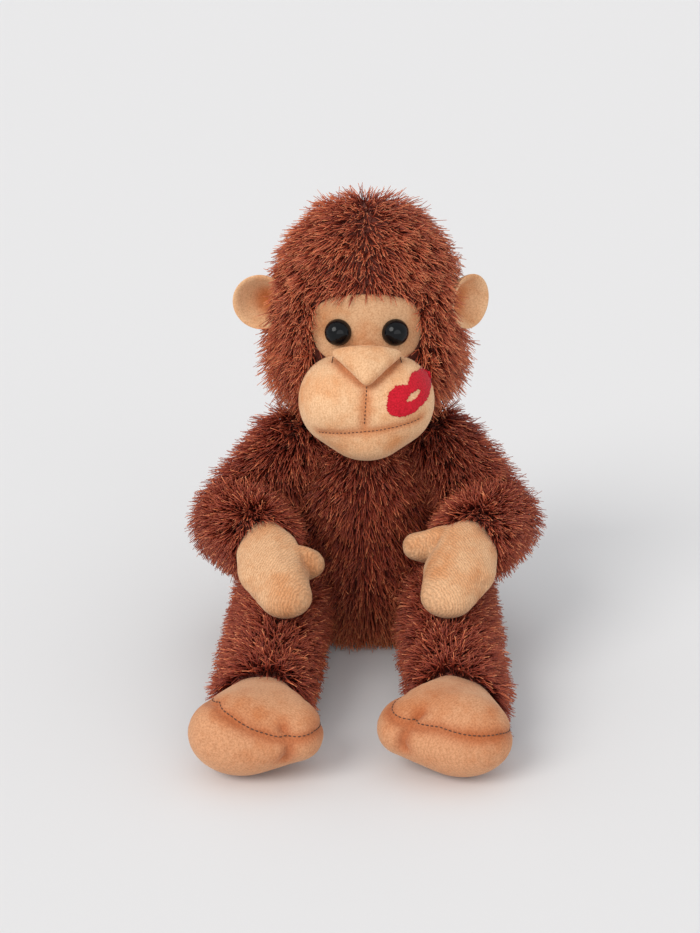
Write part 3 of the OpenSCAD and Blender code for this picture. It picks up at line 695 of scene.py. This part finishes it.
# The cloth is drawn in under the two lower edges of the nose, with painted shade in the groove
under_nose = [(share * (nose_half + 0.5) * MM, NOSE_TOP - (13 - 10 * abs(share)) * MM)
              for share in np.linspace(-1, 1, 21)]
# Each line is drawn in, and painted shade darkens the cloth along it
for line, depth, width in ((under_nose, 2.0, 1.5), (centre_line, 1.1, 1.3), (mouth_line, 0.8, 1.1)):
    pulled_in(muzzle, on_muzzle(tree, line), depth * MM, width * MM)
subdivided(muzzle)
tree = tree_of(muzzle)
# The muzzle's velour is lighter and paler than the face's: partly its own colour, partly painted light for
# the light thrown up under the chin
muzzle.data.materials.append(velour("velour_muzzle", depth=0.15, tint=(1.06, 1.08, 1.1)))
solids["muzzle"] = finished(muzzle, "muzzle_padded", "head",
                            ["muzzle_right", "muzzle_left", "chin_panel", "muzzle_stuffing"])
stitches("mouth_seams", "head", ["mouth_stitches"],
         [on_muzzle(tree, line, 0.12 * MM) for line in (centre_line, mouth_line)],
         radius=0.24 * MM, pitch=1.75 * MM, share=0.55)

# The nose is a folded triangle, with its corners tacked down. It has rolled corners and a crest
# above, a full middle, and a blunt tip on the centre seam
nose_eggs = [((x, y, z), (r, r, r)) for x, y, z, r in (
    (-nose_half + 1.2, -7, 23.4, 2.1), (nose_half - 1.2, -7, 22.8, 2.1), (-7.5, -10.8, 24.9, 2.3),
    (7.5, -10.8, 24.5, 2.3), (0, -13, 24.9, 2.5), (0, -18, 20.5, 3.0), (-7, -15.6, 21.2, 2.7),
    (7, -15.6, 20.9, 2.7), (0, -20.6, 15.3, 2.9))]
nose = one_skin([hull_of(nose_eggs, Matrix.Translation(muzzle_at))], 0.8 * MM, 6)
nose = puffed(nose, cap=0.8 * MM)
subdivided(nose)
nose.data.materials.append(velour("velour_nose", depth=0.1))
solids["nose"] = finished(nose, "nose_folded", "head", ["nose_fold"])
# One short tack below each upper corner, where the muzzle first comes forward of it
tacks = [on_muzzle(tree, [(sign * (nose_half - 0.4 + 0.3 * k) * MM, NOSE_TOP - (3 + 0.8 * k) * MM)
                          for k in range(9)], 0.2 * MM)[:3] for sign in SIDES.values()]
stitches("nose_tacks", "head", ["nose_stitches"], tacks, pitch=1.3 * MM)

# ---- Lip print ----
# A red print of a pair of parted lips on the left cheek, in the same short pile, with a ragged edge.

LIPS_L = 23 * MM
LIPS_H = 14 * MM


def lips_cover(s, v):
    """True where the print is red: s runs along the lips from -1 to 1, v across them."""
    def hump(at, half, high):
        return high * max(1 - ((s - at) / half) ** 2, 0) ** 0.9
    upper = max(hump(-0.3, 0.7, 0.52), hump(0.48, 0.48, 0.44))
    lower = -0.47 * max(1 - abs(s - 0.05) ** 2.6, 0) ** 0.75
    parted = ((s - 0.14) / 0.3) ** 2 + ((v + 0.06 + 0.05 * (s - 0.14)) / 0.1) ** 2 < 1
    return lower < v < upper and not parted


def print_material():
    """The velour's own short pile, dyed red."""
    mat, grain = toned_material("red_print", "ShaderNodeTexNoise", 1400, (0.3, (0.34, 0.003, 0.01)),
                                (0.62, (0.56, 0.008, 0.024)), 0.85, relief=True)
    grain.inputs["Detail"].default_value = 3
    shader = mat.node_tree.nodes["Principled BSDF"]
    shader.inputs["Sheen Weight"].default_value = 0.08
    shader.inputs["Specular IOR Level"].default_value = 0.2
    return mat


CELLS = 72
bpy.ops.object.select_all(action="DESELECT")
bpy.ops.mesh.primitive_grid_add(x_subdivisions=CELLS, y_subdivisions=CELLS, size=2)
lips = bpy.context.object
rng = np.random.default_rng(11)
ragged = rng.uniform(-0.022, 0.022, (len(lips.data.polygons), 2))
bpy.ops.object.mode_set(mode="EDIT")
bpy.ops.mesh.select_all(action="DESELECT")
bpy.ops.object.mode_set(mode="OBJECT")
for face in lips.data.polygons:
    centre = face.center
    face.select = not lips_cover(centre.x + ragged[face.index, 0], centre.y + ragged[face.index, 1])
bpy.ops.object.mode_set(mode="EDIT")
bpy.ops.mesh.select_mode(type="FACE")
bpy.ops.mesh.delete(type="FACE")
bpy.ops.object.mode_set(mode="OBJECT")
LIPS_TURN = math.radians(36)
# The cheek turns away here, and the print goes no further round it
CHEEK_EDGE = 28.8 * MM
lips_at = sum(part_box("kiss_patch"), Vector()) / 2 - Vector((1.4, 0, 0.3)) * MM
for v in lips.data.vertices:
    s, t = v.co.x * LIPS_L / 2, v.co.y * LIPS_H
    x = min(lips_at.x + s * math.cos(LIPS_TURN) - t * math.sin(LIPS_TURN), CHEEK_EDGE)
    z = lips_at.z + s * math.sin(LIPS_TURN) + t * math.cos(LIPS_TURN)
    hits = on_muzzle(tree, [(x, z)], 0.25 * MM)
    v.co = hits[0] if hits else Vector((x, muzzle_at.y, z))
closed_sheet(lips, 0.6 * MM, 0)
lips.data.materials.append(print_material())
finished(lips, "lip_print", "head", ["kiss_patch"])

# ---- Eyes ----
# Black domed safety eyes: a polished dome with a fine rim, on a stem that a washer locks behind
# the cloth.


def eye_material():
    """Polished black plastic with a faint haze."""
    mat, haze = toned_material("black_dome", "ShaderNodeTexNoise", 260, (0, (0.0012, 0.0014, 0.002)),
                               (1, (0.003, 0.0036, 0.005)), 0.1)
    nodes, links = mat.node_tree.nodes, mat.node_tree.links
    shader = nodes["Principled BSDF"]
    dull = nodes.new("ShaderNodeMapRange")
    dull.inputs["To Min"].default_value = 0.08
    dull.inputs["To Max"].default_value = 0.18
    links.new(haze.outputs["Fac"], dull.inputs["Value"])
    links.new(dull.outputs["Result"], shader.inputs["Roughness"])
    shader.inputs["Specular IOR Level"].default_value = 0.22
    return mat


black = eye_material()
EYE_R = (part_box("eye_right")[1].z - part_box("eye_right")[0].z) / 2
STEM_R, STEM_L = 1.5 * MM, 11 * MM
# The eyes look a little outwards
GAZE = math.radians(12)
for side, sign in SIDES.items():
    dome_low, dome_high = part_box(f"eye_{side}")
    bpy.ops.object.select_all(action="DESELECT")
    bpy.ops.mesh.primitive_uv_sphere_add(segments=48, ring_count=32, radius=EYE_R)
    dome = bpy.context.object
    dome.data.transform(Matrix.Rotation(math.radians(90), 4, "X"))
    bpy.ops.object.mode_set(mode="EDIT")
    bpy.ops.mesh.select_all(action="SELECT")
    bpy.ops.mesh.bisect(plane_co=(0, 0.4 * MM, 0), plane_no=(0, 1, 0), clear_outer=True, use_fill=True)
    bpy.ops.mesh.select_all(action="DESELECT")
    bpy.ops.object.mode_set(mode="OBJECT")
    back = max(dome.data.polygons, key=lambda f: f.normal.y)
    back.select = True
    bpy.ops.object.mode_set(mode="EDIT")
    bpy.ops.mesh.select_mode(type="FACE")
    bpy.ops.mesh.inset(thickness=EYE_R - STEM_R)
    bpy.ops.mesh.extrude_region_move(TRANSFORM_OT_translate={"value": (0, STEM_L, 0)})
    bpy.ops.object.mode_set(mode="OBJECT")
    # The dome's own middle, from where its front and outer edge lie
    edge = dome_low.x if sign < 0 else dome_high.x
    centre = Vector((edge - sign * EYE_R * math.cos(GAZE), dome_low.y + EYE_R, eye_place[side].z))
    dome.data.transform(Matrix.Translation(centre) @ Matrix.Rotation(GAZE * sign, 4, "Z"))
    applied(dome, "BEVEL", width=0.25 * MM, segments=2, angle_limit=math.radians(50))
    dome.data.materials.append(black)
    solids[f"eye_{side}"] = finished(dome, f"eye_dome_{side}", "head", [f"eye_{side}"])

# ---- Ears ----
# Each ear is two layers of velour, turned out and cupped, with its root sewn into the head's side.

EAR_ROOT = {"right": 8 * MM, "left": 13 * MM}
EAR_TURN = {"right": 6, "left": 46}
for side, sign in SIDES.items():
    low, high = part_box(f"ear_{side}_back")
    hinge = pivot[f"ear_{side}_bend"]
    radius = (high.z - low.z) / 2
    turn = Matrix.Rotation(math.radians(EAR_TURN[side] * sign), 4, "Z")

    def ear_place(d):
        """A lens that is thicker at its rim, bent into a cup that opens to the front."""
        r = min(math.hypot(d.x, d.z), 1)
        rim = math.exp(-((r - 0.84) / 0.18) ** 2)
        half_t = (1.3 + 1.2 * rim) * math.sqrt(max(1 - r ** 8, 0)) * MM
        cup = (3 - 8.5 * r * r) * MM
        at = Vector((d.x * radius + sign * (radius - EAR_ROOT[side]),
                     cup - 2 * MM + (half_t if d.y > 0 else -half_t), d.z * radius * 0.97))
        return hinge + turn @ at
    bpy.ops.object.select_all(action="DESELECT")
    ear = shaped_ball(ear_place, 48, 32)
    # Painted shade: the hollow of the cup gets a deeper colour, as shade falls there
    middle = hinge + turn @ Vector((sign * (radius - EAR_ROOT[side] - 3 * MM), 0, 0))
    around = np.linalg.norm(points_of(ear) - np.array(middle), axis=1) / radius
    paint_shade(ear, np.exp(-(around / 0.62) ** 4))
    ear.data.materials.append(velour(f"velour_ear_{side}", depth=0.0))
    solids[f"ear_{side}"] = finished(ear, f"ear_cupped_{side}", f"ear_{side}",
                                     [f"ear_{side}_front", f"ear_{side}_back"])

# ---- Inside ----
# The pellet bag, the washers behind the eyes and the ladder stitches of the closed back keep the
# shapes that they have in the frame.

pellet_cloth, _ = toned_material("pellet_cloth", "ShaderNodeTexNoise", 900, (0, (0.5, 0.42, 0.3)),
                                 (1, (0.72, 0.64, 0.5)), 0.9)
washer, _ = toned_material("washer_plastic", "ShaderNodeTexNoise", 120, (0, (0.7, 0.7, 0.68)),
                           (1, (0.85, 0.85, 0.83)), 0.45)
inner = {"pellet_bag": pellet_cloth, "eye_right_washer": washer, "eye_left_washer": washer,
         "closing_stitches": thread}
for name, mat in inner.items():
    node = frame["nodes"][name]
    node.data.materials.clear()
    node.data.materials.append(mat)

# ---- Pile ----
# Long shiny fibres stand all over the fur covers. They are brushed out of the seams once the toy is
# closed: they part along the crown, fall over the edge of the face, and are darker at their roots.

FIBRE_R = 0.2 * MM
TINTS = 12
FLOOR_GAP = 0.7 * MM
SHORTEST = 2 * MM


def fur_material():
    """Colour runs along each fibre and differs from fibre to fibre, both from the fibre's own map."""
    mat, nodes, links, shader = new_material("auburn_pile")
    own_map = nodes.new("ShaderNodeUVMap")
    own_map.uv_map = "OFBake"
    parts = nodes.new("ShaderNodeSeparateXYZ")
    links.new(own_map.outputs["UV"], parts.inputs["Vector"])
    dark = ramp(nodes, (0.0, (0.045, 0.005, 0.004)), (0.4, (0.14, 0.014, 0.009)),
                (0.8, (0.25, 0.033, 0.016)), (1.0, (0.36, 0.065, 0.028)))
    bright = ramp(nodes, (0.0, (0.1, 0.012, 0.008)), (0.4, (0.4, 0.06, 0.026)),
                  (0.8, (0.78, 0.19, 0.075)), (1.0, (1.0, 0.42, 0.19)))
    links.new(parts.outputs["Y"], dark.inputs["Fac"])
    links.new(parts.outputs["Y"], bright.inputs["Fac"])
    mix = nodes.new("ShaderNodeMix")
    mix.data_type = "RGBA"
    links.new(parts.outputs["X"], mix.inputs[0])
    links.new(dark.outputs["Color"], mix.inputs[6])
    links.new(bright.outputs["Color"], mix.inputs[7])
    links.new(mix.outputs[2], shader.inputs["Base Color"])
    shader.inputs["Roughness"].default_value = 0.42
    shader.inputs["Specular IOR Level"].default_value = 0.35
    return mat


fur = fur_material()
trees = {name: tree_of(piece) for name, piece in solids.items()}
boxes = {name: (points_of(piece).min(0), points_of(piece).max(0)) for name, piece in solids.items()}


def waves(points, length, seed, count=7):
    """A smooth wandering vector for each point, which changes over about the given length."""
    draw = np.random.default_rng(seed)
    out = np.zeros_like(points)
    for _ in range(count):
        k = draw.normal(size=3)
        k *= 2 * math.pi / (length * draw.uniform(0.8, 1.6)) / np.linalg.norm(k)
        out += np.sin(points @ k + draw.uniform(0, 2 * math.pi))[:, None] * draw.normal(size=3)
    return out / math.sqrt(count)


def unit(v):
    """Each row of v, at a length of one."""
    return v / np.maximum(np.linalg.norm(v, axis=1, keepdims=True), 1e-9)


def near(name, p, reach):
    """True where a point is within reach of a piece's own box."""
    low, high = boxes[name]
    return np.all(p > low - reach) and np.all(p < high + reach)


def roots_on(piece, density, draw):
    """Evenly scattered roots on a cover, with the direction that each stands up in."""
    mesh = piece.data
    mesh.calc_loop_triangles()
    co = points_of(piece)
    normals = np.array([v.normal for v in mesh.vertices])
    tri = np.array([t.vertices for t in mesh.loop_triangles])
    a, b, c = co[tri[:, 0]], co[tri[:, 1]], co[tri[:, 2]]
    areas = np.linalg.norm(np.cross(b - a, c - a), axis=1) / 2
    count = int(areas.sum() / MM ** 2 * density)
    pick = np.searchsorted(np.cumsum(areas) / areas.sum(), draw.uniform(0, 1, count))
    pick = np.minimum(pick, len(tri) - 1)
    u, v = draw.uniform(0, 1, (2, count))
    over = u + v > 1
    u[over], v[over] = 1 - u[over], 1 - v[over]
    w = np.stack([1 - u - v, u, v], axis=1)[:, :, None]
    at = (co[tri[pick]] * w).sum(1)
    return at, unit((normals[tri[pick]] * w).sum(1))


def fibres_mesh(name, root, middle, tip, tint):
    """One closed three-sided rod for each fibre, with its own strip of the map."""
    n = len(root)
    forward = unit(tip - root)
    upright = np.abs(forward[:, 2:]) >= 0.9
    side = unit(np.cross(forward, np.where(upright, [[1.0, 0, 0]], [[0, 0, 1.0]])))
    up = np.cross(forward, side)
    rings = []
    for centre, r in ((root, 0.9 * FIBRE_R), (middle, FIBRE_R), (tip, 0.65 * FIBRE_R)):
        for k in range(3):
            angle = 2 * math.pi * k / 3
            rings.append(centre + (side * math.cos(angle) + up * math.sin(angle)) * r)
    verts = np.stack(rings, axis=1).reshape(-1, 3)
    faces, levels, widths = [], [], []
    for ring, (v0, v1) in ((0, (0.02, 0.5)), (3, (0.5, 0.98))):
        for k in range(3):
            j = (k + 1) % 3
            faces.append([ring + k, ring + j, ring + 3 + j, ring + 3 + k])
            levels.append([v0, v0, v1, v1])
            widths.append([k / 3, (k + 1) / 3, (k + 1) / 3, k / 3])
    caps = [[2, 1, 0], [6, 7, 8]]
    quads = np.array(faces)
    loops = np.concatenate([quads.ravel(), np.array(caps).ravel()])
    sizes = [4] * len(faces) + [3] * len(caps)
    v_map = np.concatenate([np.array(levels).ravel(), [0.0, 0.0, 0.02, 0.98, 0.98, 1.0]])
    u_map = np.concatenate([np.array(widths).ravel(), [0, 1, 0.5, 0, 1, 0.5]])
    per = len(loops)
    mesh = bpy.data.meshes.new(name)
    mesh.vertices.add(len(verts))
    mesh.vertices.foreach_set("co", verts.ravel())
    mesh.loops.add(n * per)
    first = np.arange(n)[:, None]
    mesh.loops.foreach_set("vertex_index", (loops[None, :] + 9 * first).ravel().astype(np.int32))
    starts = np.concatenate([[0], np.cumsum(sizes)[:-1]])
    mesh.polygons.add(n * len(sizes))
    mesh.polygons.foreach_set("loop_start", (starts[None, :] + per * first).ravel().astype(np.int32))
    mesh.update(calc_edges=True)
    column = np.clip((tint * TINTS).astype(int), 0, TINTS - 1)[:, None]
    u = (column + 0.1 + 0.8 * u_map[None, :]) / TINTS
    uv = np.stack([u, np.broadcast_to(v_map, u.shape)], axis=2).astype(np.float32)
    layer = mesh.uv_layers.new(name="OFBake")
    layer.data.foreach_set("uv", uv.ravel())
    piece = bpy.data.objects.new(name, mesh)
    bpy.context.scene.collection.objects.link(piece)
    return piece


def brushed(name, cover_name, body, length, comb, tint, seed, lift=1.0, density=1.0, keep=None,
            droop=0.25, bright=0.14):
    """Grows the pile of one cover, and density is in fibres for each square millimetre.

    comb gives, at each root, which way the fibres lean. keep says which roots are used.
    """
    draw = np.random.default_rng(seed)
    root, normal = roots_on(covers[cover_name], density, draw)
    use = np.ones(len(root), bool) if keep is None else keep(root)
    others = [n for n in trees if n != cover_name]
    for i, p in enumerate(root):
        if not use[i]:
            continue
        for other in others:
            if near(other, p, 0):
                hit, out, _, _ = trees[other].find_nearest(Vector(p))
                if hit is not None and (Vector(p) - hit).dot(out) < 0:
                    use[i] = False
                    break
    root, normal = root[use], normal[use]
    n = len(root)
    tufts = waves(root, 12 * MM, seed) * 0.09 + waves(root, 4 * MM, seed + 50) * 0.04
    jitter = draw.normal(size=(n, 3)) * 0.23
    lean = comb(root, normal)
    direction = unit(normal * lift + lean + tufts + jitter)
    # No fibre grows back through its own cover
    depth = (direction * normal).sum(1, keepdims=True)
    direction = unit(direction + normal * np.maximum(0.25 - depth, 0))
    reach = length(root) if callable(length) else length
    long = reach * (0.82 + 0.12 * waves(root, 7 * MM, seed + 9)[:, 0] + draw.uniform(-0.16, 0.16, n))
    for i in range(n):
        for other in others:
            if near(other, root[i], long[i]):
                start, towards = Vector(root[i]), Vector(direction[i])
                hit, out, _, _ = trees[other].ray_cast(start, towards, long[i])
                if hit is None:
                    continue
                # A fibre that meets another piece bends aside, and is short only if it still meets it
                aside = (towards - 1.3 * min(towards.dot(out), 0) * out).normalized()
                direction[i] = aside
                again, _, _, distance = trees[other].ray_cast(start, aside, long[i])
                if again is not None:
                    long[i] = max(distance * 0.85, SHORTEST)
    long = np.maximum(long, SHORTEST)[:, None]
    middle = root + direction * long * 0.5
    second = unit(direction + np.array([[0, 0, -droop]]) + draw.normal(size=(n, 3)) * 0.14)
    tip = middle + second * long * 0.5
    for part in (middle, tip):
        part[:, 2] = np.maximum(part[:, 2], FLOOR_GAP)
    # Most fibres are alike, and a few are made bright copper: painted highlights, for the glints on single
    # shiny fibres
    shade = tint(root) if callable(tint) else tint
    shade = shade + draw.normal(size=n) * 0.15 + waves(root, 14 * MM, seed + 3)[:, 0] * 0.08
    shade = np.where(draw.uniform(size=n) < bright, draw.uniform(0.75, 1.0, n), shade)
    piece = fibres_mesh(name, root, middle, tip, np.clip(shade, 0.01, 0.99))
    piece.data.materials.append(fur)
    finished(piece, name, body)


def away_from_middle(strength, down, forward=0.0):
    """Fibres part along the middle seam and lean down, and low down they reach forward."""
    def comb(p, n):
        spread = np.tanh(p[:, :1] / (4 * MM)) * np.array([[strength, 0, 0]])
        low = np.clip((30 * MM - p[:, 2:]) / (25 * MM), 0, 1) * np.array([[0, -forward, 0]])
        lean = spread + low + np.array([[0, 0, -down]])
        return lean - n * (lean * n).sum(1, keepdims=True) * 0.6
    return comb


def along_limb(start, end, strength, down, over=0.0, out=0.0):
    """Fibres lean along the limb, down and out, and reach over what is sewn to its end."""
    way = np.array((end - start).normalized())

    def comb(p, n):
        left = np.maximum((np.array(end) - p) @ way, 0)[:, None]
        reach = over * np.exp(-left / (5 * MM))
        return way * (strength + reach) + np.array([[out, 0, -down]]) - np.array([[0, 0, 0.4]]) * reach
    return comb


def short_of(end, start, beyond):
    """True on a sleeve, but not on the closed end under the hand or foot, nor on the floor."""
    way = np.array((end - start).normalized())
    return lambda p: ((p - np.array(end)) @ way < beyond) & (p[:, 2] > 2.5 * MM)


def head_length(p):
    """The pile is longest on the lower cheeks and shortest along the crown's parting."""
    low = np.clip((head_low.z + 48 * MM - p[:, 2]) / (35 * MM), 0, 1)
    return (11 + 5 * low - 2.5 * np.exp(-(p[:, 0] / (7 * MM)) ** 2)) * MM


def torso_length(p):
    """The pile is longest low on the belly."""
    low = np.clip((32 * MM - p[:, 2]) / (25 * MM), 0, 1)
    return (11.5 + 9 * low) * MM


def torso_tint(p):
    """The fibres are brighter low on the belly."""
    return 0.12 + 0.52 * np.clip((35 * MM - p[:, 2]) / (25 * MM), 0, 1)


# Fibres further forward of the neck's axis than this are at the face
FRONT_OF_HEAD = 15 * MM


def head_comb(p, n):
    """The pile parts along the crown and leans down, and round the face it leans in over the edge."""
    lean = away_from_middle(0.45, 0.6)(p, n)
    beside = np.exp(-((np.abs(p[:, :1]) - FACE_HALF - 2 * MM) / (6 * MM)) ** 2)
    beside = beside * (p[:, 2:] < FACE_TOP) * (p[:, 1:2] < axis.y - FRONT_OF_HEAD)
    inward = -np.sign(p[:, :1]) * np.array([[0.75, 0, 0]]) + np.array([[0, -0.45, 0.45]])
    return lean + beside * inward


def off_face(p):
    """True where the head's cover shows beside and above the face panel."""
    return ~((np.abs(p[:, 0]) < FACE_HALF) & (p[:, 2] < FACE_TOP - 1 * MM) & (p[:, 2] > face_low.z)
             & (p[:, 1] < axis.y - FRONT_OF_HEAD))


for side, sign in SIDES.items():
    def on_side(p):
        return p[:, 0] * sign > 0

    brushed(f"head_pile_{side}", "head_cover", "head", head_length, head_comb, 0.42, 20 + sign,
            lift=0.56, density=0.85, keep=lambda p: on_side(p) & off_face(p))
    brushed(f"torso_pile_front_{side}", "torso_cover", "torso", torso_length,
            away_from_middle(0.3, 0.75, 0.9), torso_tint, 30 + sign, lift=0.45, density=1.05,
            keep=lambda p: on_side(p) & (p[:, 1] < axis.y) & (p[:, 2] > 3 * MM))
    brushed(f"torso_pile_back_{side}", "torso_cover", "torso", torso_length,
            away_from_middle(0.3, 0.5), 0.3, 40 + sign, lift=0.75, density=0.7,
            keep=lambda p: on_side(p) & (p[:, 1] >= axis.y) & (p[:, 2] > 4 * MM))
    shoulder, elbow, hip = (pivot[f"{part}_{side}"] for part in ("shoulder", "elbow", "hip"))
    cuff, anklet = sleeve_ends[f"wrist_{side}"], sleeve_ends[f"ankle_{side}"]
    brushed(f"upper_arm_pile_{side}", f"upper_arm_cover_{side}", f"upper_arm_{side}_body", 13.5 * MM,
            along_limb(shoulder, elbow, 0.4, 0.3), 0.02, 50 + sign, lift=0.85, density=1.15, bright=0.08)
    brushed(f"forearm_pile_{side}", f"forearm_cover_{side}", f"forearm_{side}_body", 12.5 * MM,
            along_limb(elbow, cuff, 0.35, 0.2, 0.5), 0.05, 60 + sign, lift=0.8, density=1.15,
            bright=0.08, keep=short_of(cuff, elbow, 8 * MM))
    brushed(f"leg_pile_{side}", f"leg_cover_{side}", f"leg_{side}", 11 * MM,
            along_limb(hip, anklet, 0.15, 0.15, 0.9, 0.25 * sign), 0.02, 70 + sign, lift=0.85,
            density=1.1, bright=0.08, droop=0.45, keep=short_of(anklet, hip, 4 * MM))
brushed("neck_pile", "neck_cover", "neck", 8 * MM, away_from_middle(0.2, 0.3), 0.35, 80, density=0.6)

# ---- Floor, light and camera ----
# A plain pale floor under a large soft light from the front left, with a weaker one in front.

pale, _, _, shader = new_material("pale_floor")
shader.inputs["Base Color"].default_value = (0.75, 0.75, 0.755, 1)
shader.inputs["Roughness"].default_value = 0.9
bpy.ops.object.select_all(action="DESELECT")
bpy.ops.mesh.primitive_plane_add(size=90)
floor = bpy.context.object
floor.name = "floor"
floor.data.materials.append(pale)


def soft_light(name, towards, spread, strength, colour):
    """A broad even light, from the direction given."""
    data = bpy.data.lights.new(name, "SUN")
    data.angle = math.radians(spread)
    data.energy = strength
    data.color = colour
    light = bpy.data.objects.new(name, data)
    bpy.context.scene.collection.objects.link(light)
    light.rotation_euler = Vector(towards).to_track_quat("Z", "Y").to_euler()


soft_light("key", (-0.62, -0.66, 0.66), 34, 1.6, (1.0, 0.98, 0.95))
soft_light("fill", (0.3, -0.95, 0.06), 60, 1.0, (0.96, 0.98, 1.0))
world = bpy.data.worlds.new("pale_room")
bpy.context.scene.world = world
world.use_nodes = True
sky = world.node_tree.nodes["Background"]
sky.inputs["Color"].default_value = (0.95, 0.95, 0.96, 1)
sky.inputs["Strength"].default_value = 0.78
bpy.context.scene.view_settings.view_transform = "Standard"

camera = bpy.data.objects.new("camera", bpy.data.cameras.new("camera"))
bpy.context.scene.collection.objects.link(camera)
camera.location = (-0.0073, axis.y - 0.7355, 0.315)
camera.rotation_euler = (math.radians(72), 0, 0)
camera.data.lens = 62.8
camera.data.sensor_width = 36
bpy.context.scene.camera = camera
